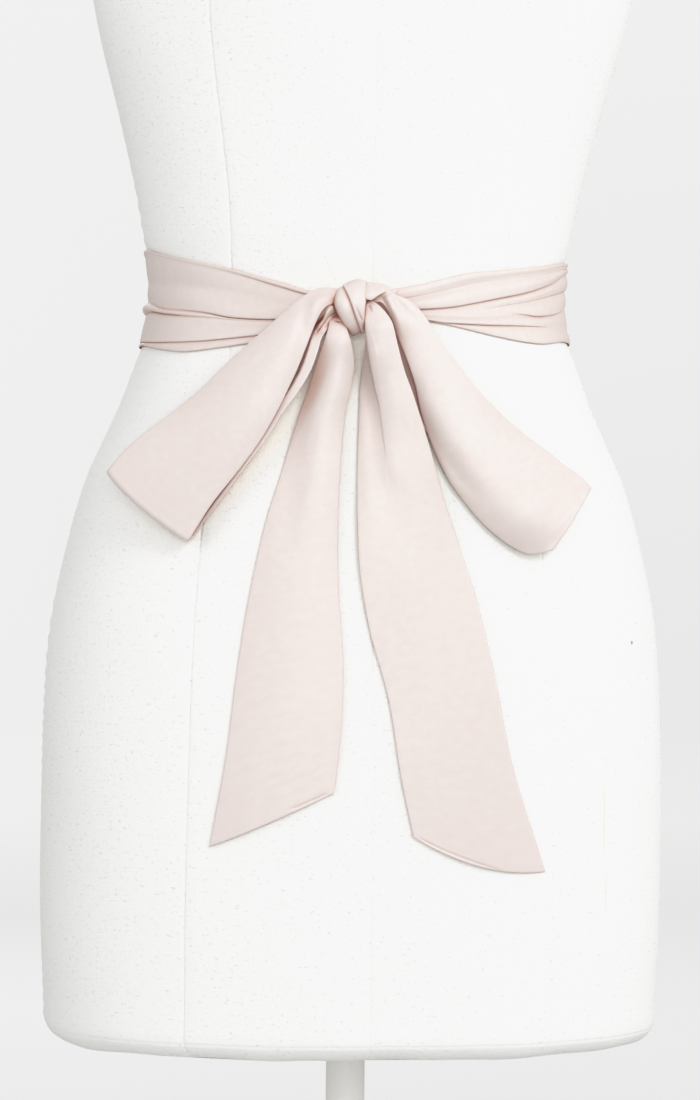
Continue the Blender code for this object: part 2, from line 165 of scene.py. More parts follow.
def edge_shares(count: int, fine: float, first: bool, last: bool) -> list[float]:
    """Shares from 0 to 1, closer together at a free edge.

    Args:
        count: How many even steps there are.
        fine: Size of the closest step, as a share.
        first: Whether the start is a free edge.
        last: Whether the end is one.

    Returns:
        The shares in rising order, with 0 and 1.
    """
    shares = [step / count for step in range(count + 1)]
    extra = [growth * fine for growth in EDGE_GROWTH]
    if first:
        shares += extra
    if last:
        shares += [1.0 - share for share in extra]
    return sorted(set(shares))


class TorsoRing(NamedTuple):
    """The form's section at a height: its half width, its reach ahead and behind, and its shape."""

    height: float
    half_width: float
    front: float
    back: float
    widest: float
    squareness: float


class SeamPoint(NamedTuple):
    """A point of the front princess seam."""

    height: float
    x: float


class FoldPoint(NamedTuple):
    """A point of a line along the band.

    step is how far the cloth above the line stands out, lip how far it hangs over, and swell how
    far the cloth bulges between this line and the next one up.
    """

    angle: float
    height: float
    step: float
    lip: float
    swell: float


class EdgePoint(NamedTuple):
    """A point of the band's upper edge."""

    angle: float
    height: float


class LoopRow(NamedTuple):
    """A row across a loop, from its upper edge to its lower one.

    arch is how far its middle swells, and curl how far its lower edge turns forward.
    """

    upper_x: float
    upper_height: float
    upper_forward: float
    lower_x: float
    lower_height: float
    lower_forward: float
    arch: float
    curl: float


def straight(rows: LoopRow, share: Array) -> list[Array]:
    """x, height and forward of straight rows, at shares from their upper edge to their lower one."""
    upper = (rows.upper_x, rows.upper_height, rows.upper_forward)
    lower = (rows.lower_x, rows.lower_height, rows.lower_forward)
    return [start[:, None] + (end - start)[:, None] * share for start, end in zip(upper, lower)]


class KnotRow(NamedTuple):
    """A row across the knot: its left edge, its fold line and its right edge."""

    left_x: float
    left_height: float
    left_forward: float
    fold_x: float
    fold_height: float
    fold_forward: float
    right_x: float
    right_height: float
    right_forward: float
    step: float
    left_swell: float
    right_swell: float


class TailRow(NamedTuple):
    """A row across a tail: its edges, its pleat line at a share between them, and how it stands out.

    bow is how far the row's middle hangs below a straight line.
    """

    left_x: float
    left_height: float
    left_out: float
    right_x: float
    right_height: float
    right_out: float
    arch: float
    bow: float
    pleat: float
    step: float


@dataclass(frozen=True)
class FormShape:
    """The dress form's measured shape."""

    rings: tuple[TorsoRing, ...] = table(
        TorsoRing,
        (-415, 171, 112.5, 119, -10, 2.35),
        (-399, 172, 113, 121, -10, 2.35),
        (-350, 174, 115, 127, -9, 2.35),
        (-290, 174, 117, 131, -8, 2.35),
        (-230, 173, 118, 131, -7, 2.35),
        (-180, 169, 117, 127, -6, 2.35),
        (-130, 159, 114, 116, -5, 2.3),
        (-100, 150, 110.5, 108, -4, 2.3),
        (-80, 141, 107, 102, -3, 2.25),
        (-60, 132, 104, 96, -2, 2.25),
        (-34, 122.5, 98.5, 90, -1, 2.2),
        (-22, 118, 96, 88, -1, 2.2),
        (0, 115, 93, 86, 0, 2.2),
        (16, 116, 93.5, 87, 2, 2.2),
        (30, 119, 94.5, 88, 4, 2.2),
        (60, 124.5, 98, 91, 8, 2.2),
        (100, 134, 105, 97, 14, 2.2),
        (140, 144.5, 112, 103, 21, 2.25),
        (168, 150, 115, 107, 26, 2.3),
        (215, 157, 112, 110, 24, 2.35),
        (300, 166, 88, 108, 4, 2.4),
        (345, 168, 68, 90, -6, 2.4),
        (375, 146, 59, 77, -6, 2.3),
        (395, 112, 56, 69, -4, 2.2),
        (415, 80, 54, 62, -2, 2.1),
        (440, 61, 54, 57, 0, 2.0),
        (480, 56, 56, 56, 0, 2.0),
    )
    princess: tuple[SeamPoint, ...] = table(
        SeamPoint,
        (-415, 99),
        (-328, 99),
        (-221, 97),
        (-136, 92),
        (-104, 86),
        (-71, 80),
        (-33, 76),
        (0, 75),
        (48, 77),
        (80, 81),
        (152, 90),
        (230, 88),
        (345, 78),
        (395, 56),
        (440, 34),
        (480, 30),
    )
    bust_height: float = 182.0
    bust_half_spacing: float = 78.0
    bust_relief: float = 11.0
    bust_reach: float = 42.0

    def ring_at(self, height: Array) -> TorsoRing:
        """The section's values at each height."""
        return read_by(self.rings, "height", height)

    def reach(self, angle: Array, height: Array) -> Array:
        """Distance from a section's widest line to its outline, at an angle from the front."""
        ring = self.ring_at(height)
        depth = np.where(np.cos(angle) > 0, ring.front - ring.widest, ring.back + ring.widest)
        across = np.abs(np.sin(angle)) / ring.half_width
        along = np.abs(np.cos(angle)) / depth
        return (across**ring.squareness + along**ring.squareness) ** (-1.0 / ring.squareness)

    def bust(self, x: Array, height: Array) -> Array:
        """How far the two soft lobes of the bust stand out of the front."""
        relief = np.zeros(np.broadcast(x, height).shape)
        for side in (-1, 1):
            distance = np.hypot(x - side * self.bust_half_spacing, height - self.bust_height)
            relief = relief + self.bust_relief * np.exp(-((distance / self.bust_reach) ** 2))
        return relief

    def outline(self, angle: Array, height: Array, out: Array) -> Array:
        """Points on the form, or out from it.

        Args:
            angle: Angle from the centre front, in radians, positive towards +X.
            height: Height from the waist.
            out: Distance out from the form.

        Returns:
            x, height and forward along a new last axis.
        """
        angle, height, out = np.broadcast_arrays(angle, height, out)
        reach = self.reach(angle, height) + out
        x = reach * np.sin(angle)
        ahead = np.maximum(np.cos(angle), 0.0) ** 2
        forward = self.ring_at(height).widest + reach * np.cos(angle)
        return stack(x, height, forward + self.bust(x, height) * ahead)

    def front(self, x: Array, height: Array) -> Array:
        """How far forward the form's front is at a place across it."""
        ring = self.ring_at(height)
        share = np.minimum(np.abs(x) / ring.half_width, 0.999)
        depth = (1.0 - share**ring.squareness) ** (1.0 / ring.squareness)
        return ring.widest + (ring.front - ring.widest) * depth

    def princess_angle(self, height: Array) -> Array:
        """Angle of the front princess seam at each height, found by halving."""
        target = read_by(self.princess, "height", height).x
        low = np.zeros_like(height)
        high = np.full_like(height, math.pi / 2)
        for _ in range(24):
            middle = (low + high) / 2.0
            inside = self.reach(middle, height) * np.sin(middle) < target
            low = np.where(inside, middle, low)
            high = np.where(inside, high, middle)
        return (low + high) / 2.0


@dataclass(frozen=True)
class Crease:
    """A soft ridge, or a trough where its relief is negative, along a path on the cloth.

    The path is in x and height as seen from the front. Looking along it, its left side falls away
    over `left` millimetres and its right side over `right`. It grows over the share `fade_in` of
    its length and dies out over the share `fade_out`.
    """

    path: tuple[tuple[float, float], ...]
    relief: float
    left: float
    right: float
    fade_in: float
    fade_out: float

    def at(self, x: Array, height: Array) -> Array:
        """The crease's relief at each place."""
        steps = np.linspace(0.0, 1.0, 6 * len(self.path))
        places = range(len(self.path))
        line_x = through(places, [p[0] for p in self.path], steps * (len(self.path) - 1))
        line_height = through(places, [p[1] for p in self.path], steps * (len(self.path) - 1))
        best = np.full(x.shape, np.inf)
        side = np.zeros(x.shape)
        along = np.zeros(x.shape)
        for index in range(len(steps) - 1):
            run_x = line_x[index + 1] - line_x[index]
            run_height = line_height[index + 1] - line_height[index]
            from_x = x - line_x[index]
            from_height = height - line_height[index]
            square = run_x**2 + run_height**2
            share = np.clip((from_x * run_x + from_height * run_height) / square, 0.0, 1.0)
            distance = np.hypot(from_x - share * run_x, from_height - share * run_height)
            nearer = distance < best
            best = np.where(nearer, distance, best)
            side = np.where(nearer, run_x * from_height - run_height * from_x, side)
            along = np.where(nearer, steps[index] + share * (steps[index + 1] - steps[index]), along)
        width = np.where(side > 0, self.left, self.right)
        strength = ramp(0.0, self.fade_in, along) * (1.0 - ramp(1.0 - self.fade_out, 1.0, along))
        return self.relief * strength * np.exp(-((best / width) ** 2))


def relief_of(creases: Sequence[Crease], x: Array, height: Array) -> Array:
    """The joint relief of several creases."""
    total = np.zeros(x.shape)
    for crease in creases:
        total += crease.at(x, height)
    return total


@dataclass(frozen=True)
class NodeTree:
    """A small helper that adds linked shader nodes to a material."""

    FIRST_COLOUR: ClassVar[int] = 6
    SECOND_COLOUR: ClassVar[int] = 7
    MIXED_COLOUR: ClassVar[int] = 2

    material: bpy.types.Material

    def add(self, kind: str, **settings: object) -> bpy.types.Node:
        """Add a node of a kind and set its own properties."""
        node = self.material.node_tree.nodes.new(kind)
        for key, value in settings.items():
            setattr(node, key, value)
        return node

    def link(self, source: Socket, target: Socket) -> None:
        """Join an output to an input."""
        self.material.node_tree.links.new(source, target)

    def shader(self) -> bpy.types.Node:
        """The material's Principled shader."""
        return self.material.node_tree.nodes["Principled BSDF"]

    def coordinates(self, output: str, scale: Sequence[float] = (1.0, 1.0, 1.0)) -> Socket:
        """Texture coordinates of one kind, with so many repeats a metre along each axis."""
        source = self.add("ShaderNodeTexCoord")
        mapping = self.add("ShaderNodeMapping")
        mapping.inputs["Scale"].default_value = scale
        self.link(source.outputs[output], mapping.inputs["Vector"])
        return mapping.outputs["Vector"]

    def noise(self, vector: Socket, detail: float = 2.0, roughness: float = 0.5) -> Socket:
        """A noise pattern of one repeat a unit, from 0 to 1."""
        node = self.add("ShaderNodeTexNoise")
        node.inputs["Scale"].default_value = 1.0
        node.inputs["Detail"].default_value = detail
        node.inputs["Roughness"].default_value = roughness
        self.link(vector, node.inputs["Vector"])
        return node.outputs["Fac"]

    def math(self, operation: str, first: Socket, second: Socket | float) -> Socket:
        """Combine two values."""
        node = self.add("ShaderNodeMath", operation=operation)
        self.link(first, node.inputs[0])
        if isinstance(second, (int, float)):
            node.inputs[1].default_value = second
        else:
            self.link(second, node.inputs[1])
        return node.outputs["Value"]

    def spread(
        self,
        value: Socket,
        source: tuple[float, float],
        result: tuple[float, float] = (0.0, 1.0),
    ) -> Socket:
        """Map a value from one range to another, held at the ends."""
        node = self.add("ShaderNodeMapRange")
        self.link(value, node.inputs["Value"])
        node.inputs["From Min"].default_value, node.inputs["From Max"].default_value = source
        node.inputs["To Min"].default_value, node.inputs["To Max"].default_value = result
        return node.outputs["Result"]

    def blend(self, share: Socket, first: Socket | Colour, second: Colour) -> Socket:
        """A colour, plain or from another node, turned into a second one by a share."""
        node = self.add("ShaderNodeMix", data_type="RGBA")
        self.link(share, node.inputs["Factor"])
        if isinstance(first, tuple):
            node.inputs[self.FIRST_COLOUR].default_value = (*first, 1.0)
        else:
            self.link(first, node.inputs[self.FIRST_COLOUR])
        node.inputs[self.SECOND_COLOUR].default_value = (*second, 1.0)
        return node.outputs[self.MIXED_COLOUR]

    def openness(self, reach: float) -> Socket:
        """How open each place is, from 0 in the depth of a fold to 1 where nothing is within reach."""
        node = self.add("ShaderNodeAmbientOcclusion", samples=8)
        node.inputs["Distance"].default_value = reach
        return node.outputs["AO"]

    def axes(self, vector: Socket) -> bpy.types.NodeOutputs:
        """The outputs of a vector's parts, by the names X, Y and Z."""
        node = self.add("ShaderNodeSeparateXYZ")
        self.link(vector, node.inputs["Vector"])
        return node.outputs

    def bump(self, height: Socket, distance: float, under: Socket | None = None) -> Socket:
        """A bump of a height given in metres.

        Args:
            height: The pattern, from 0 to 1.
            distance: Its depth in metres.
            under: A coarser normal that this one rides on.

        Returns:
            The bumped normal.
        """
        node = self.add("ShaderNodeBump")
        node.inputs["Strength"].default_value = 1.0
        node.inputs["Distance"].default_value = distance
        self.link(height, node.inputs["Height"])
        if under is not None:
            self.link(under, node.inputs["Normal"])
        return node.outputs["Normal"]


def new_material(name: str, colour: Colour) -> NodeTree:
    """A new Principled material, ready for its nodes."""
    material = bpy.data.materials.new(name)
    material.use_nodes = True
    material.diffuse_color = (*colour, 1.0)
    return NodeTree(material)


@dataclass(frozen=True)
class SatinFinish:
    """Matt blush satin with a fine crepe weave, on the cloth's own UV map in metres, with painted shade
    in its folds.
    """

    lit: Colour = (0.748, 0.668, 0.642)
    shade: Colour = (0.712, 0.624, 0.594)
    # Painted shade: the colours below, where each one begins and how far the occlusion looks, darken and
    # redden the cloth in folds and narrow gaps.
    painted_fold_shade: Colour = (0.64, 0.43, 0.36)
    painted_deep_shade: Colour = (0.34, 0.10, 0.07)
    fold_shade_from: tuple[float, float] = (0.50, 0.92)
    deep_shade_from: tuple[float, float] = (0.16, 0.54)
    fold_shade_reach: float = 0.018
    thread_pitch: float = 0.00032
    weave_depth: float = 0.00003
    ripple_depth: float = 0.00022
    ripple_scale: tuple[float, float, float] = (16.0, 9.0, 1.0)
    mottle_scale: tuple[float, float, float] = (240.0, 240.0, 1.0)
    roughness: tuple[float, float] = (0.44, 0.54)
    gloss_facing: tuple[float, float] = (0.12, 0.6)
    gloss: tuple[float, float] = (1.0, 0.1)
    anisotropy: float = 0.25

    def material(self) -> bpy.types.Material:
        """Build the material."""
        tree = new_material("blush_satin", self.lit)
        fine = 1.0 / self.thread_pitch
        cross = tree.noise(tree.coordinates("UV", (fine, fine * 0.16, 1.0)), 1.0)
        warp = tree.noise(tree.coordinates("UV", (fine * 0.22, fine, 1.0)), 1.0)
        soft = tree.noise(tree.coordinates("UV", self.ripple_scale), 1.5)
        mottle = tree.noise(tree.coordinates("UV", self.mottle_scale))
        tone = tree.math("MULTIPLY", tree.math("ADD", soft, mottle), 0.5)
        shader = tree.shader()
        colour = tree.blend(tree.spread(tone, (0.35, 0.65)), self.lit, self.shade)
        # The base colour takes painted shade in the folds.
        tree.link(self.paint_fold_shade(tree, colour), shader.inputs["Base Color"])
        tree.link(tree.spread(tone, (0.3, 0.7), self.roughness), shader.inputs["Roughness"])
        weave = tree.math("ADD", cross, warp)
        ripple = tree.bump(soft, self.ripple_depth)
        tree.link(tree.bump(weave, self.weave_depth, ripple), shader.inputs["Normal"])
        facing = tree.add("ShaderNodeLayerWeight")
        gloss = tree.spread(facing.outputs["Facing"], self.gloss_facing, self.gloss)
        tree.link(gloss, shader.inputs["Specular IOR Level"])
        shader.inputs["Anisotropic"].default_value = self.anisotropy
        return tree.material

    def paint_fold_shade(self, tree: NodeTree, colour: Socket) -> Socket:
        """Paint shade into the cloth's colour where folds and gaps close it in, darker and redder in the
        narrowest gaps.

        Args:
            tree: The material's nodes.
            colour: The colour of the open cloth.

        Returns:
            The colour with its painted fold shade.
        """
        # Painted shade: the colour darkens and reddens wherever other surfaces are close.
        openness = tree.openness(self.fold_shade_reach)
        stages = ((self.fold_shade_from, self.painted_fold_shade), (self.deep_shade_from, self.painted_deep_shade))
        for reach, tint in stages:
            colour = tree.blend(tree.spread(openness, reach, (1.0, 0.0)), colour, tint)
        return colour


class Mark(NamedTuple):
    """A small mark on the front of the form: its middle and half its size in mm, and its tint."""

    x: float
    height: float
    half_width: float
    half_height: float
    tint: Colour


@dataclass(frozen=True)
class CanvasFinish:
    """White slubbed canvas, on the form's UV map in metres, with its few small marks and painted light
    in its hollows and gaps.
    """

    white: Colour = (0.900, 0.900, 0.893)
    # Painted light: the next colour makes the canvas brighter and yellower where the occlusion finds
    # surfaces close, as in the gap under the knot.
    painted_recess_light: Colour = (0.960, 0.965, 0.885)
    recess_light_from: tuple[float, float] = (0.85, 0.4)
    recess_light_reach: float = 0.035
    grey: Colour = (0.84, 0.842, 0.83)
    grime: float = 0.2
    thread_pitch: float = 0.0009
    weave_depth: float = 0.00026
    roughness: float = 0.88
    gloss: float = 0.2
    sheen: float = 0.08
    front_depth: float = 0.02
    mark_edge: tuple[float, float] = (1.0, 0.3)
    marks: tuple[Mark, ...] = (
        Mark(129.6, -286.0, 0.55, 26.0, (0.80, 0.74, 0.66)),
        Mark(131.0, -326.0, 0.50, 17.0, (0.82, 0.77, 0.70)),
        Mark(147.0, -190.0, 0.9, 1.3, (0.36, 0.34, 0.32)),
        Mark(-76.4, -110.7, 0.7, 0.7, (0.68, 0.66, 0.64)),
        Mark(-91.0, -131.0, 1.0, 4.0, (0.80, 0.79, 0.76)),
    )

    def material(self) -> bpy.types.Material:
        """Build the material."""
        tree = new_material("white_canvas", self.white)
        fine = 1.0 / self.thread_pitch
        weft = tree.noise(tree.coordinates("UV", (fine * 0.12, fine, 1.0)))
        warp = tree.noise(tree.coordinates("UV", (fine, fine * 0.10, 1.0)))
        slub = tree.noise(tree.coordinates("UV", (fine * 0.30, fine * 0.55, 1.0)), 4.0, 0.7)
        knots = tree.spread(slub, (0.60, 0.72))
        hollows = tree.spread(slub, (0.36, 0.27))
        weave = tree.math("ADD", tree.math("MAXIMUM", weft, warp), tree.math("MULTIPLY", knots, 0.8))
        shader = tree.shader()
        colour = tree.blend(tree.math("MULTIPLY", hollows, self.grime), self.white, self.grey)
        # Painted light: the canvas brightens and yellows where other surfaces close it in.
        recess_light_share = tree.spread(tree.openness(self.recess_light_reach), self.recess_light_from)
        colour = self.marked(tree, tree.blend(recess_light_share, colour, self.painted_recess_light))
        tree.link(colour, shader.inputs["Base Color"])
        tree.link(tree.bump(weave, self.weave_depth), shader.inputs["Normal"])
        shader.inputs["Roughness"].default_value = self.roughness
        shader.inputs["Specular IOR Level"].default_value = self.gloss
        shader.inputs["Sheen Weight"].default_value = self.sheen
        return tree.material

    def marked(self, tree: NodeTree, colour: Socket) -> Socket:
        """Lay the small marks over the canvas's colour, on its front alone."""
        spot = tree.axes(tree.coordinates("Object"))
        front = tree.spread(spot["Y"], (-FORM_FORWARD, -FORM_FORWARD - self.front_depth))
        for mark in self.marks:
            aside = tree.math("SUBTRACT", spot["X"], mark.x * MM)
            aside = tree.math("DIVIDE", aside, mark.half_width * MM)
            above = tree.math("SUBTRACT", spot["Z"], WAIST_HEIGHT + mark.height * MM)
            above = tree.math("DIVIDE", above, mark.half_height * MM)
            away = tree.math("ADD", tree.math("POWER", aside, 2.0), tree.math("POWER", above, 2.0))
            share = tree.math("MULTIPLY", tree.spread(away, self.mark_edge), front)
            colour = tree.blend(share, colour, mark.tint)
        return colour


@dataclass(frozen=True)
class PaintedMetalFinish:
    """White paint over metal, a little worn and streaked."""

    white: Colour = (0.86, 0.85, 0.83)
    worn: Colour = (0.82, 0.805, 0.78)
    roughness: tuple[float, float] = (0.36, 0.52)
    peel_depth: float = 0.00004

    def material(self) -> bpy.types.Material:
        """Build the material."""
        tree = new_material("white_painted_metal", self.white)
        streaks = tree.noise(tree.coordinates("Object", (70.0, 70.0, 10.0)))
        peel = tree.noise(tree.coordinates("Object", (700.0, 700.0, 700.0)), 1.0)
        shader = tree.shader()
        colour = tree.blend(tree.spread(streaks, (0.45, 0.75)), self.white, self.worn)
        tree.link(colour, shader.inputs["Base Color"])
        tree.link(tree.spread(streaks, (0.3, 0.7), self.roughness), shader.inputs["Roughness"])
        tree.link(tree.bump(peel, self.peel_depth), shader.inputs["Normal"])
        return tree.material


@dataclass(frozen=True)
class PaperFinish:
    """The plain pale paper of the floor and backdrop, glowing with painted light that is a little dimmer
    to one side and below, and dimmer still on the floor near the form.
    """

    body: Colour = (0.25, 0.25, 0.25)
    # near, far and floor are painted light: the glow is brightest to the left and high up, dimmer to the
    # right and low, and dimmest on the floor near the form.
    near: Colour = (0.745, 0.742, 0.745)
    far: Colour = (0.665, 0.662, 0.667)
    floor: Colour = (0.580, 0.577, 0.583)
    roughness: float = 0.95
    gloss: float = 0.1
    across_reach: tuple[float, float] = (-0.9, 1.8)
    height_reach: tuple[float, float] = (2.2, -0.3)
    least_share: float = 0.15
    level_from: tuple[float, float] = (0.9, 1.0)
    floor_reach: tuple[float, float] = (1.5, 5.5)

    def material(self) -> bpy.types.Material:
        """Build the material."""
        tree = new_material("pale_paper_painted_glow", self.body)
        shader = tree.shader()
        spot = tree.coordinates("Object")
        axes = tree.axes(spot)
        across = tree.spread(axes["X"], self.across_reach)
        down = tree.spread(axes["Z"], self.height_reach, (self.least_share, 1.0))
        # Painted light: the glow dims towards one side and downwards.
        wall = tree.blend(tree.math("MULTIPLY", across, down), self.near, self.far)
        normal = tree.axes(tree.add("ShaderNodeNewGeometry").outputs["Normal"])
        level = tree.spread(tree.math("ABSOLUTE", normal["Z"], 0.0), self.level_from)
        away = tree.add("ShaderNodeVectorMath", operation="LENGTH")
        tree.link(spot, away.inputs[0])
        close = tree.spread(away.outputs["Value"], self.floor_reach, (1.0, 0.0))
        # Painted light: the floor's glow is dimmer near the form.
        colour = tree.blend(tree.math("MULTIPLY", level, close), wall, self.floor)
        # The emission is painted light, glowing in place of light falling on the paper.
        tree.link(colour, shader.inputs["Emission Color"])
        shader.inputs["Base Color"].default_value = (*self.body, 1.0)
        shader.inputs["Roughness"].default_value = self.roughness
        shader.inputs["Specular IOR Level"].default_value = self.gloss
        shader.inputs["Emission Strength"].default_value = 1.0
        return tree.material


def link_object(name: str, data: bpy.types.Mesh, material: bpy.types.Material) -> bpy.types.Object:
    """Put a finished, smooth mesh into the scene."""
    data.materials.append(material)
    data.shade_smooth()
    obj = bpy.data.objects.new(name, data)
    bpy.context.scene.collection.objects.link(obj)
    return obj


def grid_mesh(name: str, points: Array, uv: Array, closed: bool = False) -> bpy.types.Mesh:
    """A grid whose vertices are moved to given points.

    Args:
        name: The mesh's name.
        points: Row by column by x, y and z, in metres.
        uv: Row by column by two, in metres along the cloth.
        closed: Whether the first and last columns meet, so that they are joined.

    Returns:
        The mesh.
    """
    rows, columns = points.shape[:2]
    grid = bmesh.new()
    bmesh.ops.create_grid(grid, x_segments=columns - 1, y_segments=rows - 1, size=1.0)
    data = bpy.data.meshes.new(name)
    grid.to_mesh(data)
    grid.free()
    flat = np.empty(len(data.vertices) * 3)
    data.vertices.foreach_get("co", flat)
    flat = flat.reshape(-1, 3)
    column = np.rint((flat[:, 0] + 1.0) / 2.0 * (columns - 1)).astype(int)
    row = np.rint((flat[:, 1] + 1.0) / 2.0 * (rows - 1)).astype(int)
    data.vertices.foreach_set("co", points[row, column].astype(np.float32).ravel())
    corners = np.empty(len(data.loops), dtype=np.int32)
    data.loops.foreach_get("vertex_index", corners)
    layer = data.uv_layers.new(name="cloth")
    layer.data.foreach_set("uv", uv[row, column][corners].astype(np.float32).ravel())
    data.update()
    if closed:
        grid = bmesh.new()
        grid.from_mesh(data)
        bmesh.ops.remove_doubles(grid, verts=grid.verts, dist=JOIN_DISTANCE)
        grid.to_mesh(data)
        grid.free()
    return data


def spun_mesh(
    name: str, profile: Sequence[tuple[float, float]], sides: int, outward: bool = True
) -> bpy.types.Mesh:
    """A mesh turned about the upright line.

    Args:
        name: The mesh's name.
        profile: Radius and height of each point along its outside.
        sides: How many faces go round it.
        outward: Whether its faces are turned to look outward.

    Returns:
        The mesh.
    """
    mesh = bmesh.new()
    verts = [mesh.verts.new((radius, 0.0, height)) for radius, height in profile]
    edges = [mesh.edges.new(pair) for pair in zip(verts, verts[1:])]
    bmesh.ops.spin(
        mesh,
        geom=verts + edges,
        cent=(0.0, 0.0, 0.0),
        axis=(0.0, 0.0, 1.0),
        angle=2.0 * math.pi,
        steps=sides,
        use_merge=True,
    )
    bmesh.ops.remove_doubles(mesh, verts=mesh.verts, dist=JOIN_DISTANCE)
    if outward:
        bmesh.ops.recalc_face_normals(mesh, faces=mesh.faces)
    data = bpy.data.meshes.new(name)
    mesh.to_mesh(data)
    mesh.free()
    return data


def cloth_uv(points: Array) -> Array:
    """UV in metres: across the cloth and along it, measured on the points."""
    across = np.linalg.norm(np.diff(points, axis=1), axis=2).mean(axis=0)
    along = np.linalg.norm(np.diff(points, axis=0), axis=2).mean(axis=1)
    across = np.concatenate([[0.0], np.cumsum(across)])
    along = np.concatenate([[0.0], np.cumsum(along)])
    return stack(across[None, :], along[:, None])


@dataclass
class ClothPiece:
    """A cut of the sash: a fine sheet given the thickness of two pressed layers of satin.

    thickness is in metres, edge is the width in millimetres over which the wall thins towards a
    turned edge, and thin is the share of it that is left there.
    """

    name: str
    material: bpy.types.Material
    thickness: float = 0.0008
    edge: float = 1.6
    thin: float = 0.35
    end_free: bool = False

    def build(self, points: Array) -> bpy.types.Object:
        """Make the sheet.

        Args:
            points: Row by column by x, height and forward, in millimetres.

        Returns:
            The finished object, with its live Solidify.
        """
        metres = place(points)
        uv = cloth_uv(metres)
        data = grid_mesh(self.name, metres, uv)
        obj = link_object(self.name, data, self.material)
        self.taper(obj, uv)
        wall = obj.modifiers.new("two_layers", "SOLIDIFY")
        wall.thickness = self.thickness
        wall.offset = 0.0
        wall.use_quality_normals = True
        wall.vertex_group = "wall"
        wall.thickness_vertex_group = self.thin
        return obj

    def taper(self, obj: bpy.types.Object, uv: Array) -> None:
        """Thin the wall softly towards its turned edges.

        Args:
            obj: The sheet.
            uv: The sheet's UV, in metres.
        """
        group = obj.vertex_groups.new(name="wall")
        group.add(range(len(obj.data.vertices)), 1.0, "REPLACE")
        width = uv[0, -1, 0]
        length = uv[-1, 0, 1]
        across = np.minimum(uv[..., 0], width - uv[..., 0]) / (self.edge * MM)
        along = (length - uv[..., 1]) / (self.edge * MM) if self.end_free else np.inf
        near = np.minimum(across, along)
        weights = np.sqrt(np.clip(1.0 - (1.0 - np.minimum(near, 1.0)) ** 2, 0.0, 1.0)).ravel()
        for index in np.flatnonzero(weights < 0.999):
            group.add([int(index)], float(weights[index]), "REPLACE")


def declare_sheet(
    obj: bpy.types.Object,
    node: str,
    flat: tuple[float, float],
    area: float | None = None,
) -> bpy.types.Object:
    """Hide the solid that a piece of satin stands for.

    Args:
        obj: The piece.
        node: The solid that it stands for.
        flat: Width and length of the cut, in metres; not used.
        area: The flat area of what shows, where that is less than the whole rectangle; not used.

    Returns:
        The piece.
    """
    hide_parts(node)
    return obj


@dataclass
class FoldedSheet:
    """A sheet that runs along several lines, each of which may be a fold where one side overlaps.

    The arrays are line by row: `lines` holds points, `steps` how far the side after a line stands
    out over the side before it, `lips` how far it hangs over, and `swells` the bulge up to the
    next line. `outward` holds each row's way out.
    """

    lines: Array
    steps: Array
    lips: Array
    swells: Array
    outward: Array
    fold_width: float
    steps_between: tuple[int, ...]
    edge_step: float
    fold_share: float = 0.35
    fold_turns: tuple[float, ...] = (-0.75, -0.5, -0.25, 0.0, 0.25, 0.5, 0.75)
    settle: float = 1.3

    def points(self) -> Array:
        """Row by column points of the sheet."""
        count = len(self.lines)
        gaps = np.linalg.norm(np.diff(self.lines, axis=0), axis=2)
        columns: list[Array] = []
        reach = np.zeros((count, self.lines.shape[1]))
        for line in range(1, count - 1):
            narrower = np.minimum(gaps[line - 1], gaps[line])
            reach[line] = np.minimum(self.fold_width, self.fold_share * narrower)
        for line in range(count - 1):
            run = self.lines[line + 1] - self.lines[line]
            way = run / np.maximum(gaps[line], 1e-6)[:, None]
            start = self.lines[line] + way * reach[line][:, None]
            end = self.lines[line + 1] - way * reach[line + 1][:, None]
            if line > 0:
                columns += self.fold(line, reach[line], way)
            first, last = line == 0, line == count - 2
            shares = edge_shares(self.steps_between[line], self.edge_step, first, last)
            for share in shares:
                rise = np.maximum(self.steps[line], 0.0) * (1.0 - share) ** self.settle
                rise += np.maximum(-self.steps[line + 1], 0.0) * share**self.settle
                rise += self.swells[line] * swell(share)
                columns.append(start + (end - start) * share + self.outward * rise[:, None])
        return np.stack(columns, axis=1)

    def fold(self, line: int, reach: Array, way: Array) -> list[Array]:
        """The columns that turn over one fold line.

        Args:
            line: Which line.
            reach: Half the fold's width in each row.
            way: The way across the cloth in each row.

        Returns:
            One array of points for each column.
        """
        columns = []
        for turn in self.fold_turns:
            shift = reach * turn - self.lips[line] * math.sin(math.pi * turn)
            high = 0.5 + 0.5 * math.sin(math.pi * turn / 2.0)
            rise = np.maximum(self.steps[line], 0.0) * high
            rise += np.maximum(-self.steps[line], 0.0) * (1.0 - high)
            columns.append(self.lines[line] + way * shift[:, None] + self.outward * rise[:, None])
        return columns


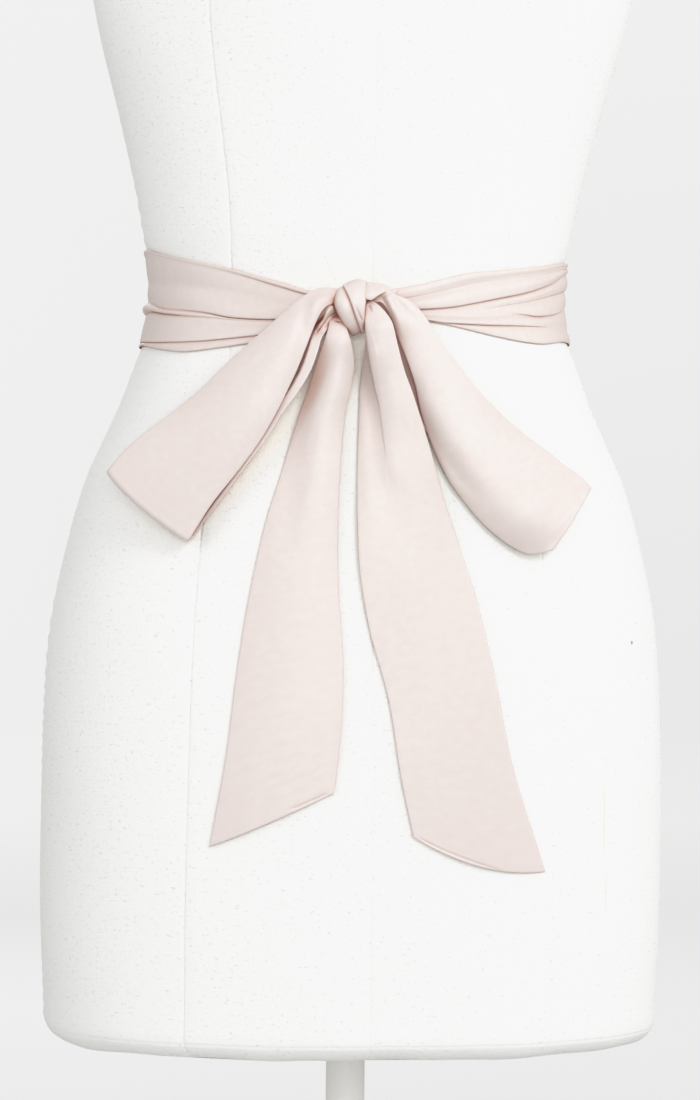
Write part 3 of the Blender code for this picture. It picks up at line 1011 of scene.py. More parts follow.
@dataclass
class DressForm:
    """The limbless form: its canvas torso, its neck cap, its pole and its base.

    The torso's sizes are in millimetres, and the stand's, from cap_radius on, in metres.
    """

    shape: FormShape
    canvas: bpy.types.Material
    metal: bpy.types.Material
    bottom: float = -415.0
    top: float = 480.0
    bottom_roll: float = 14.0
    row_spacing: float = 2.5
    columns_a_panel: int = 15
    seam_offsets: tuple[float, ...] = (0.0, 0.55, 1.4)
    seam_depths: tuple[float, ...] = (0.45, 0.6, 0.5, 0.5, 0.5, 0.5, 0.6, 0.85)
    back_seam_share: float = 0.92
    groove_width: float = 0.5
    uv_radius: float = 0.155
    hem_line: float = 9.0
    hem_depth: float = 0.25
    hem_swell: float = 0.35
    hem_fade: float = 6.0
    hem_wave: float = 0.9
    hem_wave_fade: float = 7.0
    wave_depth: float = 0.35
    pucker_pitch: float = 8.3
    pucker_depth: float = 0.5
    pucker_reach: float = 3.5
    cap_radius: float = 0.058
    cap_height: float = 0.012
    pole_radius: float = 0.011
    collar_radius: float = 0.024
    collar_height: float = 0.012
    base_radius: float = 0.200
    base_rim: float = 0.008
    base_crown: float = 0.022
    gap: float = 0.0003
    sharp_from: float = 40.0

    def heights(self) -> Array:
        """Heights of the rows of faces, finest at the hem."""
        roll = self.bottom + self.bottom_roll * (1.0 - np.cos(np.linspace(0.0, math.pi / 2, 7)))
        hem = self.bottom + self.hem_line + np.array([-1.2, -0.5, 0.0, 0.5, 1.2])
        plain = np.arange(self.bottom + self.bottom_roll + 3.0, self.top, self.row_spacing)
        return np.unique(np.concatenate([roll, hem, plain, [self.top]]))

    def columns(self) -> list[tuple[int, float, float]]:
        """Columns of the torso as a panel, a share across it and an offset from a seam."""
        columns: list[tuple[int, float, float]] = []
        panels = len(self.seam_depths)
        for panel in range(panels):
            columns += [(panel, 0.0, offset) for offset in self.seam_offsets]
            shares = range(1, self.columns_a_panel)
            columns += [(panel, share / self.columns_a_panel, 0.0) for share in shares]
            columns += [(panel, 1.0, -offset) for offset in reversed(self.seam_offsets[1:])]
        columns.append((panels - 1, 1.0, 0.0))
        return columns

    def seam_angles(self, height: Array) -> Array:
        """Angles of the seams round the form, seam by height, with the first again at the end."""
        princess = self.shape.princess_angle(height)
        side = np.full_like(height, math.pi / 2)
        front = np.zeros_like(height)
        half = [front, princess, side, math.pi - princess * self.back_seam_share, front + math.pi]
        rest = [2.0 * math.pi - angle for angle in reversed(half[:-1])]
        return np.stack(half + rest)

    def torso(self) -> bpy.types.Object:
        """The canvas torso, with its seams, its turned hem and its puckered side seam."""
        heights = self.heights()
        seams = self.seam_angles(heights)
        below = np.maximum(self.bottom + self.bottom_roll - heights, 0.0)
        inset = self.bottom_roll - np.sqrt(np.maximum(self.bottom_roll**2 - below**2, 0.0))
        from_hem = heights - (self.bottom + self.hem_line)
        hem = -self.hem_depth * np.exp(-((from_hem / self.groove_width) ** 2))
        hem += self.hem_swell * np.where(from_hem < 0, 1.0, np.exp(-from_hem / self.hem_fade))
        points = []
        uvs = []
        for panel, share, offset in self.columns():
            start, end = seams[panel], seams[panel + 1]
            angle = start + (end - start) * share
            reach = self.shape.reach(angle, heights)
            angle = angle + offset / reach
            relief = hem - inset
            if share in (0.0, 1.0):
                seam = (panel + round(share)) % len(self.seam_depths)
                groove = math.exp(-((offset / self.groove_width) ** 2))
                relief = relief - self.seam_depths[seam] * groove
            relief = relief + self.unevenness(angle, heights)
            points.append(self.shape.outline(angle, heights + self.hem_lift(angle, heights), relief))
            uvs.append(stack(angle * self.uv_radius, heights * MM))
        metres = place(np.stack(points, axis=1))
        data = grid_mesh("form_canvas", metres, np.stack(uvs, axis=1), closed=True)
        shell = bmesh.new()
        shell.from_mesh(data)
        bmesh.ops.holes_fill(shell, edges=shell.edges, sides=0)
        bmesh.ops.recalc_face_normals(shell, faces=shell.faces)
        shell.to_mesh(data)
        shell.free()
        obj = link_object("form_canvas", data, self.canvas)
        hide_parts("form_torso")
        return obj

    def hem_lift(self, angle: Array, height: Array) -> Array:
        """How far the bottom edge is drawn up, unevenly, by its turned band."""
        wave = 1.0 + 0.6 * np.sin(7.0 * angle + 0.8) + 0.4 * np.sin(17.0 * angle)
        return self.hem_wave * wave * np.exp(-(height - self.bottom) / self.hem_wave_fade)

    def unevenness(self, angle: Array, height: Array) -> Array:
        """Small waves of the padding, and the puckers of the side seam."""
        waves = np.sin(height / 31.0 + 3.0 * angle) * np.sin(5.0 * angle + height / 57.0)
        waves = self.wave_depth * waves
        beside = np.exp(-(((angle - 1.5 * math.pi) / math.radians(self.pucker_reach)) ** 2))
        pucker = np.sin(2.0 * math.pi * height / self.pucker_pitch + 3.0 * np.sin(height / 19.0))
        pucker = pucker * (0.45 + 0.55 * np.sin(height / 37.0 + 1.0))
        return waves + self.pucker_depth * beside * pucker

    def turned(self, name: str, profile: Sequence[tuple[float, float]], sides: int) -> bpy.types.Object:
        """A turned metal piece, at the origin with its place in its mesh."""
        data = spun_mesh(name, profile, sides)
        obj = link_object(name, data, self.metal)
        data.set_sharp_from_angle(angle=math.radians(self.sharp_from))
        return obj

    def neck_cap(self) -> bpy.types.Object:
        """The domed cap on the neck."""
        foot = WAIST_HEIGHT + self.top * MM + self.gap
        turns = np.linspace(0.0, math.pi / 2, 9)
        dome = [
            (self.cap_radius * math.sin(turn), foot + self.cap_height * (0.4 + 0.6 * math.cos(turn)))
            for turn in turns
        ]
        obj = self.turned("neck_cap_turned", dome + [(self.cap_radius, foot), (0.0, foot)], 72)
        obj.data.transform(Matrix.Translation((0.0, -FORM_FORWARD, 0.0)))
        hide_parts("neck_cap")
        return obj

    def pole(self) -> bpy.types.Object:
        """The pole and the collar under the form."""
        head = WAIST_HEIGHT + self.bottom * MM - self.gap
        foot = self.base_crown + self.gap
        profile = (
            (0.0, head),
            (self.collar_radius - 0.001, head),
            (self.collar_radius, head - 0.001),
            (self.collar_radius, head - self.collar_height + 0.001),
            (self.collar_radius - 0.001, head - self.collar_height),
            (self.pole_radius, head - self.collar_height),
            (self.pole_radius, foot),
            (0.0, foot),
        )
        obj = self.turned("stand_pole_painted", profile, 64)
        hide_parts("stand_pole")
        return obj

    def base(self) -> bpy.types.Object:
        """The round foot."""
        profile = (
            (0.0, self.base_crown),
            (self.pole_radius * 2.4, self.base_crown),
            (self.pole_radius * 3.0, self.base_crown - 0.004),
            (self.base_radius * 0.55, self.base_rim + 0.005),
            (self.base_radius * 0.9, self.base_rim + 0.001),
            (self.base_radius - 0.002, self.base_rim - 0.001),
            (self.base_radius, self.base_rim - 0.003),
            (self.base_radius, 0.0),
            (0.0, 0.0),
        )
        obj = self.turned("stand_base_painted", profile, 96)
        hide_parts("stand_base")
        return obj

    def build(self) -> list[bpy.types.Object]:
        """Build the form and its stand."""
        return [self.torso(), self.neck_cap(), self.pole(), self.base()]


@dataclass
class WaistBand:
    """The sash once round the waist, gathered into folds towards the knot."""

    shape: FormShape
    satin: bpy.types.Material
    first_angle: float = -5.5
    last_angle: float = 349.5
    columns_round: int = 430
    stand_off: float = 1.1
    least_gap: float = 0.9
    length: float = 0.664
    area: float = 0.034
    bottom: tuple[FoldPoint, ...] = table(
        FoldPoint,
        (-8, -22, 0, 0, 0.5),
        (9, -16.5, 0, 0, 0.4),
        (17, -16.8, 0, 0, 0.3),
        (23, -18.2, 0, 0, 0.3),
        (32, -21.5, 0, 0, 0.4),
        (40, -24.2, 0, 0, 0.5),
        (49, -26.2, 0, 0, 0.6),
        (57, -26.6, 0, 0, 0.7),
        (69, -24.3, 0, 0, 0.8),
        (80, -24.5, 0, 0, 0.8),
        (110, -26, 0, 0, 0.6),
        (150, -27, 0, 0, 0.8),
        (200, -29, 0, 0, 0.8),
        (240, -29, 0, 0, 0.6),
        (272, -28, 0, 0, 0.5),
        (280, -28.2, 0, 0, 0.5),
        (294, -31.7, 0, 0, 0.6),
        (303, -33.4, 0, 0, 0.5),
        (312, -32.2, 0, 0, 0.4),
        (323, -29.6, 0, 0, 0.3),
        (339, -26, 0, 0, 0.3),
        (352, -22, 0, 0, 0.3),
    )
    low_fold: tuple[FoldPoint, ...] = table(
        FoldPoint,
        (-8, -18, 0.5, 0.1, 0.2),
        (9, -15.3, 0.6, 0.2, 0.1),
        (17, -15.9, 1.0, 0.5, 0.1),
        (23, -17.0, 1.2, 0.7, 0.1),
        (36, -17.4, 1.4, 0.8, 0.2),
        (46, -17.2, 1.2, 0.6, 0.7),
        (58, -17.0, 0.6, 0.2, 0.5),
        (66, -16.5, 0.1, 0.0, 0.4),
        (80, -17, 0.1, 0.0, 0.4),
        (120, -19, 0.9, 0.4, 0.6),
        (165, -21, 1.1, 0.5, 0.7),
        (205, -23, 0.3, 0.1, 0.6),
        (240, -24, 0.5, 0.2, 0.5),
        (272, -25.2, 0.9, 0.4, 0.5),
        (279, -25.7, 1.0, 0.5, 0.5),
        (293, -27.1, 1.1, 0.5, 0.6),
        (307, -27.5, 1.1, 0.5, 0.6),
        (317, -26.3, 1.2, 0.6, 0.6),
        (325, -24.9, 1.2, 0.6, 0.6),
        (339, -22, 1.0, 0.4, 0.5),
        (352, -18, 0.8, 0.3, 0.4),
    )
    side_fold: tuple[FoldPoint, ...] = table(
        FoldPoint,
        (-8, -14, 0.0, 0, 0),
        (9, -13.2, 0.0, 0, 0),
        (30, -13, 0.0, 0, 0),
        (44, -11.5, 0.2, 0, 0.3),
        (50, -11.0, 0.8, 0.3, 0.6),
        (56, -11.2, 1.3, 0.5, 0.8),
        (63, -9.9, 1.2, 0.4, 0.8),
        (71, -7.4, 0.9, 0.2, 0.8),
        (78, -4.2, 0.6, 0.1, 0.8),
        (100, -3, 0.5, 0.1, 0.7),
        (135, -8, 1.0, 0.4, 0.6),
        (180, -13, 1.2, 0.5, 0.7),
        (225, -13, 0.7, 0.2, 1.2),
        (260, -11.5, -0.4, 0.0, 2.4),
        (272, -10.4, -0.5, 0.0, 2.9),
        (281, -10.4, -0.5, 0.0, 2.6),
        (291, -12.5, -0.6, 0.0, 2.0),
        (301, -14.6, -0.5, 0.0, 1.2),
        (312, -16.6, -0.2, 0.0, 0.5),
        (323, -18.6, 0.0, 0, 0.2),
        (339, -18, 0.0, 0, 0.2),
        (352, -15, 0.0, 0, 0.2),
    )
    roll_fold: tuple[FoldPoint, ...] = table(
        FoldPoint,
        (-8, -11, 0.0, 0, 0),
        (14, -11.8, 0.0, 0, 0),
        (34, -9.4, 0.1, 0, 0.1),
        (42, -7.1, 0.5, 0.1, 0.5),
        (54, -3.2, 0.7, 0.1, 0.7),
        (64, 0.7, 0.9, 0.2, 0.9),
        (79, 5.6, 1.2, 0.5, 1.0),
        (100, 7, 1.2, 0.5, 0.9),
        (130, 3, 0.6, 0.2, 0.6),
        (170, -3, 0.3, 0, 0.5),
        (210, -5, 0.5, 0.1, 0.7),
        (250, -4.5, 0.2, 0, 0.6),
        (272, -2.6, 0.0, 0.0, 0.6),
        (279, -4.0, 0.1, 0.0, 0.6),
        (290, -8.2, 0.25, 0.0, 0.7),
        (300, -10.2, 0.7, 0.2, 0.8),
        (308, -11.9, 1.0, 0.4, 0.8),
        (316, -14.6, 1.4, 0.7, 0.9),
        (323, -15.7, 1.5, 0.8, 0.9),
        (330, -16.2, 1.4, 0.7, 0.8),
        (340, -15.5, 1.1, 0.4, 0.6),
        (352, -12, 0.8, 0.3, 0.5),
    )
    high_fold: tuple[FoldPoint, ...] = table(
        FoldPoint,
        (-8, -9, 1.2, 0.4, 0.6),
        (9, -10.2, 1.4, 0.6, 0.7),
        (15, -9.9, 1.5, 0.8, 0.8),
        (25, -8.3, 1.6, 0.9, 0.9),
        (33, -5.6, 1.6, 0.9, 0.9),
        (42, -2.2, 1.5, 0.8, 0.9),
        (52, 1.5, 1.4, 0.7, 0.9),
        (64, 7.4, 1.2, 0.6, 0.8),
        (76, 14.0, 0.9, 0.4, 0.6),
        (90, 15.5, 0.6, 0.2, 0.5),
        (120, 13, 0.9, 0.4, 0.6),
        (160, 8, 1.3, 0.6, 0.8),
        (195, 5, 1.0, 0.4, 0.7),
        (235, 6, 0.4, 0.1, 0.6),
        (262, 8, 0.1, 0, 0.4),
        (278, 7, 0.0, 0, 0.4),
        (300, 3, 0.0, 0, 0.4),
        (320, -3.5, 0.1, 0, 0.4),
        (340, -9.5, 0.2, 0, 0.3),
        (352, -8, 0.2, 0, 0.3),
    )
    rim_fold: tuple[FoldPoint, ...] = table(
        FoldPoint,
        (-8, -5.5, 0.4, 0, 0.3),
        (9, -4.6, 0.5, 0.1, 0.4),
        (21, -0.6, 0.5, 0, 0.6),
        (33, 4.8, 0.3, 0, 0.6),
        (45, 8.2, 0.1, 0, 0.4),
        (60, 12.4, 0.0, 0, 0.3),
        (76, 17.4, 0.0, 0, 0.2),
        (110, 19.5, 0.2, 0, 0.3),
        (150, 19.5, 0.5, 0.1, 0.4),
        (200, 18.5, 0.4, 0.1, 0.4),
        (250, 21, 0.1, 0, 0.3),
        (278, 21.9, 0.0, 0, 0.2),
        (290, 18.8, 0.0, 0, 0.2),
        (300, 15.4, 0.1, 0, 0.2),
        (310, 11.4, 0.15, 0, 0.2),
        (320, 7.0, 0.7, 0.3, 0.4),
        (330, 2.0, 1.2, 0.6, 0.4),
        (340, -2.8, 1.2, 0.6, 0.3),
        (352, -5.5, 0.8, 0.3, 0.3),
    )
    top: tuple[EdgePoint, ...] = table(
        EdgePoint,
        (-8, -3),
        (8.6, 0.7),
        (14.7, 2.6),
        (25, 6.9),
        (33, 10.1),
        (44, 12.3),
        (56.6, 15.2),
        (76, 19.8),
        (110, 22.5),
        (150, 23.5),
        (200, 23),
        (240, 24),
        (275, 25.2),
        (290, 20.4),
        (304, 15.1),
        (315.4, 10.8),
        (323.7, 6.6),
        (332, 2.8),
        (340, -1.2),
        (352, -3),
    )

    def build(self) -> bpy.types.Object:
        """Build the band."""
        degrees = np.linspace(self.first_angle, self.last_angle, self.columns_round)
        lower = (self.bottom, self.low_fold, self.side_fold)
        upper = (self.roll_fold, self.high_fold, self.rim_fold)
        rows = [read_by(fold, "angle", degrees) for fold in lower + upper]
        edge = read_by(self.top, "angle", degrees)
        zero = np.zeros_like(degrees)
        heights = np.stack([row.height for row in rows] + [edge.height])
        for line in range(1, len(heights)):
            heights[line] = np.maximum(heights[line], heights[line - 1] + self.least_gap)
        sheet = FoldedSheet(
            lines=stack(degrees[None, :], heights, zero[None, :]),
            steps=np.stack([row.step for row in rows] + [zero]),
            lips=np.stack([row.lip for row in rows] + [zero]),
            swells=np.stack([row.swell for row in rows] + [zero]),
            outward=stack(zero, zero, zero + 1.0),
            fold_width=0.9,
            steps_between=(7, 7, 6, 6, 8, 6),
            edge_step=0.035,
        )
        flat = sheet.points()
        angle = np.radians(flat[..., 0])
        points = self.shape.outline(angle, flat[..., 1], flat[..., 2] + self.stand_off)
        piece = ClothPiece("waist_band_satin", self.satin, thickness=0.0007, edge=1.2)
        flat_size = (SASH_WIDTH * MM, self.length)
        return declare_sheet(
            piece.build(points), "waist_band", flat_size, self.area
        )


@dataclass
class Knot:
    """The knot: the wrap that goes over the front, and its turn towards the right."""

    satin: bpy.types.Material
    centre_height: float = -11.0
    centre_forward: float = 104.0
    rows_along: int = 84
    length: float = 0.064
    area: float = 0.0013
    turn_size: tuple[float, float] = (0.011, 0.022)
    left_turn: tuple[float, float] = (3.2, 0.10)
    right_turn: tuple[float, float] = (1.2, 0.08)
    creases: tuple[Crease, ...] = (
        Crease(((-12.4, -9.0), (-11.4, -11.4), (-9.3, -15.6), (-7.0, -19.6)), -0.8, 0.55, 0.6, 0.7, 0.2),
    )
    wrap: tuple[KnotRow, ...] = table(
        KnotRow,
        (-19, -5, 97, -15.5, -2.5, 96, -5, -0.5, 96, 0.3, 0.2, 0.5),
        (-20, -2.6, 106.5, -16.5, 0.2, 106, -4.3, 2.6, 103.0, 0.8, 0.5, 1.6),
        (-21.3, -3.2, 113.5, -17.2, -0.4, 113, -4.3, 2.9, 109.0, 1.2, 0.7, 2.2),
        (-22.2, -5.8, 118, -16.2, -2.6, 118, -4.6, 0.2, 115.0, 1.5, 1.0, 2.0),
        (-22.3, -9.8, 119.5, -14.2, -7.0, 120.5, -5.2, -5.5, 118.5, 1.6, 1.4, 1.5),
        (-20.8, -14.6, 119.3, -12.4, -11.6, 120.8, -6.2, -10.6, 120.6, 1.6, 1.6, 0.7),
        (-18.8, -18.8, 117.5, -10.6, -16.2, 119.2, -6.4, -15.3, 119.4, 1.5, 1.6, 0.5),
        (-16.6, -22.6, 114, -8.6, -20.3, 116, -5.3, -19.8, 116.4, 1.3, 1.4, 0.4),
        (-14.4, -25.6, 108.5, -7.0, -23.8, 110.5, -3.8, -23.4, 111, 1.0, 0.9, 0.3),
        (-14, -24.5, 99.5, -7, -23, 101, -4, -22.5, 101, 0.5, 0.4, 0.2),
    )
    turn: tuple[LoopRow, ...] = table(
        LoopRow,
        (-9.6, 1.8, 106.0, -9.8, -6.6, 116.0, 3.0, 0),
        (-6.9, 2.2, 109.8, -7.0, -7.0, 118.8, 3.2, 0),
        (-4.2, 2.5, 111.0, -4.4, -7.5, 119.6, 3.2, 0),
        (-1.5, 2.1, 111.2, -2.6, -7.4, 119.0, 3.1, 0),
        (1.8, 1.9, 110.5, 0.0, -5.6, 117.8, 2.6, 0),
        (4.8, 1.2, 110.0, 2.8, -3.9, 116.3, 2.0, 0),
        (7.0, -0.4, 109.0, 5.4, -2.8, 114.0, 1.0, 0),
        (9.5, -1.2, 106.5, 8.2, -3.2, 110.5, 0.4, 0),
        (13, -0.4, 102.5, 11.5, -4.0, 105.5, 0.2, 0),
    )

    def build_wrap(self) -> bpy.types.Object:
        """The wrap, whose right part overlaps its left one."""
        rows = read_rows(self.wrap, np.linspace(0.0, 1.0, self.rows_along))
        left = stack(rows.left_x, rows.left_height, rows.left_forward)
        fold = stack(rows.fold_x, rows.fold_height, rows.fold_forward)
        right = stack(rows.right_x, rows.right_height, rows.right_forward)
        zero = np.zeros_like(rows.step)
        out = stack(zero, fold[:, 1] - self.centre_height, fold[:, 2] - self.centre_forward)
        out = out / np.linalg.norm(out, axis=1)[:, None]
        sheet = FoldedSheet(
            lines=np.stack([left, fold, right]),
            steps=np.stack([zero, rows.step, zero]),
            lips=np.stack([zero, 0.45 * rows.step, zero]),
            swells=np.stack([rows.left_swell, rows.right_swell, zero]),
            outward=out,
            fold_width=0.8,
            steps_between=(14, 18),
            edge_step=0.025,
            settle=2.2,
        )
        points = sheet.points()
        rounding = self.edge_turn(points.shape[1])
        marks = relief_of(self.creases, points[..., 0], points[..., 1])
        points = points + out[:, None, :] * (marks - rounding[None, :])[..., None]
        piece = ClothPiece("knot_wrap_satin", self.satin, thickness=0.0007, edge=0.8)
        flat_size = (SASH_WIDTH * MM, self.length)
        return declare_sheet(piece.build(points), "knot_wrap", flat_size, self.area)

    def edge_turn(self, columns: int) -> Array:
        """How far each column of the wrap turns in towards its free edges.

        left_turn and right_turn hold each edge's depth and the share of the width it takes.
        """
        share = np.linspace(0.0, 1.0, columns)
        left = self.left_turn[0] * np.exp(-((share / self.left_turn[1]) ** 2))
        right = self.right_turn[0] * np.exp(-(((1.0 - share) / self.right_turn[1]) ** 2))
        return left + right

    def build_turn(self) -> bpy.types.Object:
        """The short stretch that leaves the wrap for the right loop."""
        rows = read_rows(self.turn, np.linspace(0.0, 1.0, 48))
        share = np.array(edge_shares(22, 0.02, True, True))[None, :]
        x, height, forward = straight(rows, share)
        forward = forward + rows.arch[:, None] * swell(share)
        piece = ClothPiece("knot_turn_satin", self.satin, thickness=0.0007, edge=0.8)
        obj = piece.build(stack(x, height, forward))
        return declare_sheet(obj, "knot_turn", self.turn_size)

    def build(self) -> list[bpy.types.Object]:
        """Build the wrap and its turn."""
        return [self.build_wrap(), self.build_turn()]


@dataclass
class Loop:
    """A drooping loop of the bow: a front layer, a rounded end fold and a back layer.

    length and area are the flat cut's, in metres. end_bow is how far the end's middle stands out,
    and front_curl and back_curl are the widths over which the lower edges turn.
    """

    node: str
    satin: bpy.types.Material
    front: tuple[LoopRow, ...]
    back: tuple[LoopRow, ...]
    length: float
    area: float
    creases: dict[Layer, tuple[Crease, ...]]
    spacing: float = 1.0
    columns_across: int = 60
    fine_rows: int = 600
    fold_rows: int = 11
    front_curl: float = 21.0
    back_curl: tuple[float, float] = (4.6, 5.8)
    back_narrow: float = 0.42
    end_bow: float = 0.0
    bow_reach: float = 0.22

    def even_rows(self, layer: tuple[LoopRow, ...]) -> LoopRow:
        """A layer's table read at even steps along the cloth's middle."""
        fine = np.linspace(0.0, 1.0, self.fine_rows)
        rows = read_rows(layer, fine)
        middle = stack(
            rows.upper_x + rows.lower_x,
            rows.upper_height + rows.lower_height,
            rows.upper_forward + rows.lower_forward,
        ) / 2.0
        steps = np.linalg.norm(np.diff(middle, axis=0), axis=1)
        run = np.concatenate([[0.0], np.cumsum(steps)])
        count = max(int(run[-1] / self.spacing), 8)
        return read_rows(layer, np.interp(np.linspace(0.0, run[-1], count), run, fine))

    def layer_points(self, rows: LoopRow, share: Array, layer: Layer) -> Array:
        """Points of one layer.

        Args:
            rows: The layer's rows.
            share: Shares across the cloth.
            layer: Which layer it is.

        Returns:
            Row by column points.
        """
        share = share[None, :]
        x, height, forward = straight(rows, share)
        width = np.hypot(rows.lower_x - rows.upper_x, rows.lower_height - rows.upper_height)
        along = np.linspace(0.0, 1.0, len(rows.upper_x))[:, None]
        from_edge = (1.0 - share) * width[:, None]
        if layer is Layer.FRONT:
            from_end = 1.0 - along
            lift = np.clip(1.0 - from_edge / self.front_curl, 0.0, 1.0) ** 2
        else:
            from_end = along
            narrow = self.back_narrow + (1.0 - self.back_narrow) * ramp(0.05, 0.5, along)
            lift = 1.0 - ramp(*self.back_curl, from_edge / narrow)
        forward = forward + rows.arch[:, None] * swell(share) + rows.curl[:, None] * lift
        forward = forward + relief_of(self.creases[layer], x, height)
        bow = self.end_bow * (1.0 - ramp(0.0, self.bow_reach, from_end)) * swell(share**0.75)
        return stack(x + bow * self.end_way[0], height + bow * self.end_way[1], forward)

    @property
    def end_way(self) -> tuple[float, float]:
        """The way out of the loop's end, in x and height."""
        last = self.front[-1]
        run_x = last.lower_x - last.upper_x
        run_height = last.lower_height - last.upper_height
        length = math.hypot(run_x, run_height)
        side = 1.0 if last.upper_x > 0 else -1.0
        return -run_height * side / length, run_x * side / length

    def end_fold(self, last: Array, first: Array) -> Array:
        """Rows that turn from the front layer's last row to the back layer's first one.

        Args:
            last: The front layer's last row of points.
            first: The back layer's first row of points.

        Returns:
            Row by column points.
        """
        outward = np.array([*self.end_way, 0.0])
        radius = np.abs(last[:, 2] - first[:, 2]) / 2.0
        rows = []
        for turn in np.linspace(0.0, math.pi, self.fold_rows + 2)[1:-1]:
            share = (1.0 - math.cos(turn)) / 2.0
            rows.append(last + (first - last) * share + outward * (radius * math.sin(turn))[:, None])
        return np.stack(rows)

    def build(self) -> bpy.types.Object:
        """Build the loop."""
        share = np.array(edge_shares(self.columns_across, 0.006, True, True))
        front = self.layer_points(self.even_rows(self.front), share, Layer.FRONT)
        back = self.layer_points(self.even_rows(self.back), share, Layer.BACK)
        turn = self.end_fold(front[-1], back[0])
        points = np.concatenate([front, turn, back])
        obj = ClothPiece(f"{self.node}_satin", self.satin).build(points)
        return declare_sheet(obj, self.node, (SASH_WIDTH * MM, self.length), self.area)


@dataclass
class Tail:
    """A tail that leaves the knot and lies on the form down to its slanted end.

    length and area are the flat cut's, in metres. end_shares are the rows that are added close to
    the end, as shares of the length, for its turned edge.
    """

    node: str
    shape: FormShape
    satin: bpy.types.Material
    rows: tuple[TailRow, ...]
    length: float
    area: float
    creases: tuple[Crease, ...] = ()
    rows_along: int = 300
    end_shares: tuple[float, ...] = (0.0006, 0.0014, 0.0026, 0.0044, 0.0055, 0.0066, 0.0085, 0.0100)
    least_out: float = 1.0

    def build(self) -> bpy.types.Object:
        """Build the tail."""
        fine = np.linspace(0.0, 1.0, self.rows_along)
        shares = np.sort(np.concatenate([fine, 1.0 - np.array(self.end_shares)]))
        rows = read_rows(self.rows, shares)
        left = stack(rows.left_x, rows.left_height, rows.left_out)
        right = stack(rows.right_x, rows.right_height, rows.right_out)
        fold = left + (right - left) * rows.pleat[:, None]
        zero = np.zeros_like(rows.step)
        sheet = FoldedSheet(
            lines=np.stack([left, fold, right]),
            steps=np.stack([zero, rows.step, zero]),
            lips=np.stack([zero, 0.5 * rows.step, zero]),
            swells=np.stack([zero, zero, zero]),
            outward=stack(zero, zero, zero + 1.0),
            fold_width=0.8,
            steps_between=(20, 42),
            edge_step=0.012,
            settle=1.0,
        )
        flat = sheet.points()
        run = right[:, :2] - left[:, :2]
        square = (run**2).sum(axis=1)[:, None]
        share = ((flat[..., :2] - left[:, None, :2]) * run[:, None, :]).sum(axis=2) / square
        share = np.clip(share, 0.0, 1.0)
        x = flat[..., 0]
        height = flat[..., 1] - rows.bow[:, None] * swell(share)
        out = flat[..., 2] + rows.arch[:, None] * swell(share)
        out = out + relief_of(self.creases, x, height)
        points = stack(x, height, self.shape.front(x, height) + np.maximum(out, self.least_out))
        obj = ClothPiece(f"{self.node}_satin", self.satin, end_free=True).build(points)
        flat_size = (SASH_WIDTH * MM, self.length)
        return declare_sheet(obj, self.node, flat_size, self.area)


LEFT_LOOP_FRONT = table(
    LoopRow,
    (-14.0, -3.5, 110.5, -14.5, -9.0, 112, 0.5, 0),
    (-21.3, -1.2, 112.5, -21.9, -8.9, 114.5, 1.0, 0),
    (-26.7, -0.9, 113, -24.3, -9.9, 116, 1.2, 0),
    (-32.0, -1.6, 112.5, -27.1, -11.5, 117, 1.5, 0),
    (-38.3, -5.4, 112, -30.2, -15.3, 118, 2.0, 0),
    (-45.1, -10.8, 111, -32.7, -20.6, 118.5, 2.8, -0.5),
    (-51.9, -16.9, 110, -35.0, -26.5, 118.5, 3.5, -0.8),
    (-60.3, -24.7, 108.5, -38.0, -34.5, 118.5, 4.5, -1),
    (-71.3, -34.3, 106, -42.0, -44.6, 118.5, 5.0, -1),
    (-82.2, -45.0, 103, -47.6, -56.9, 118, 5.5, -1),
    (-92.7, -55.6, 100, -53.9, -69.7, 117.5, 6.0, -1),
    (-105.8, -66.3, 96.5, -62.2, -84.1, 116, 6.0, -1),
    (-120.0, -77.1, 92.5, -73.4, -99.6, 114, 5.5, -1),
    (-132.4, -88.2, 88.5, -86.6, -116.8, 110.5, 5.0, -0.6),
    (-139.4, -96.6, 86.5, -97.6, -134.6, 106.5, 4.5, 0),
)
LEFT_LOOP_BACK = table(
    LoopRow,
    (-138.6, -96.8, 79.5, -95.4, -133.6, 99.5, 3.5, 1),
    (-130.2, -89.6, 81, -82.8, -116.0, 101.5, 1, 6),
    (-117.5, -79.4, 85, -67.8, -95.2, 104, 0, 8.5),
    (-102.7, -68.2, 89, -57.2, -80.6, 104.5, 0, 10),
    (-89.4, -58.0, 92, -50.0, -68.6, 104.5, -0.3, 11),
    (-78.3, -48.5, 94.5, -41.4, -56.6, 104.5, -0.5, 12.5),
    (-65.7, -38.0, 97.5, -35.2, -46.0, 104.5, -0.8, 13.5),
    (-54.1, -29.0, 99.5, -31.4, -35.6, 104.5, -0.8, 14),
    (-46.8, -23.0, 101, -29.4, -28.6, 104.5, -0.8, 13),
    (-40.5, -17.5, 101, -26.6, -24.0, 105, -1, 10),
    (-34.2, -12.0, 103, -24.7, -21.7, 107, 1, 6),
    (-28.0, -8.0, 104, -24.2, -18.0, 109, 2, 3),
    (-21.6, -5.8, 105, -22.0, -15.7, 110, 1, 0),
    (-14.0, -5.0, 105, -14.5, -15.0, 108, 0, 0),
)
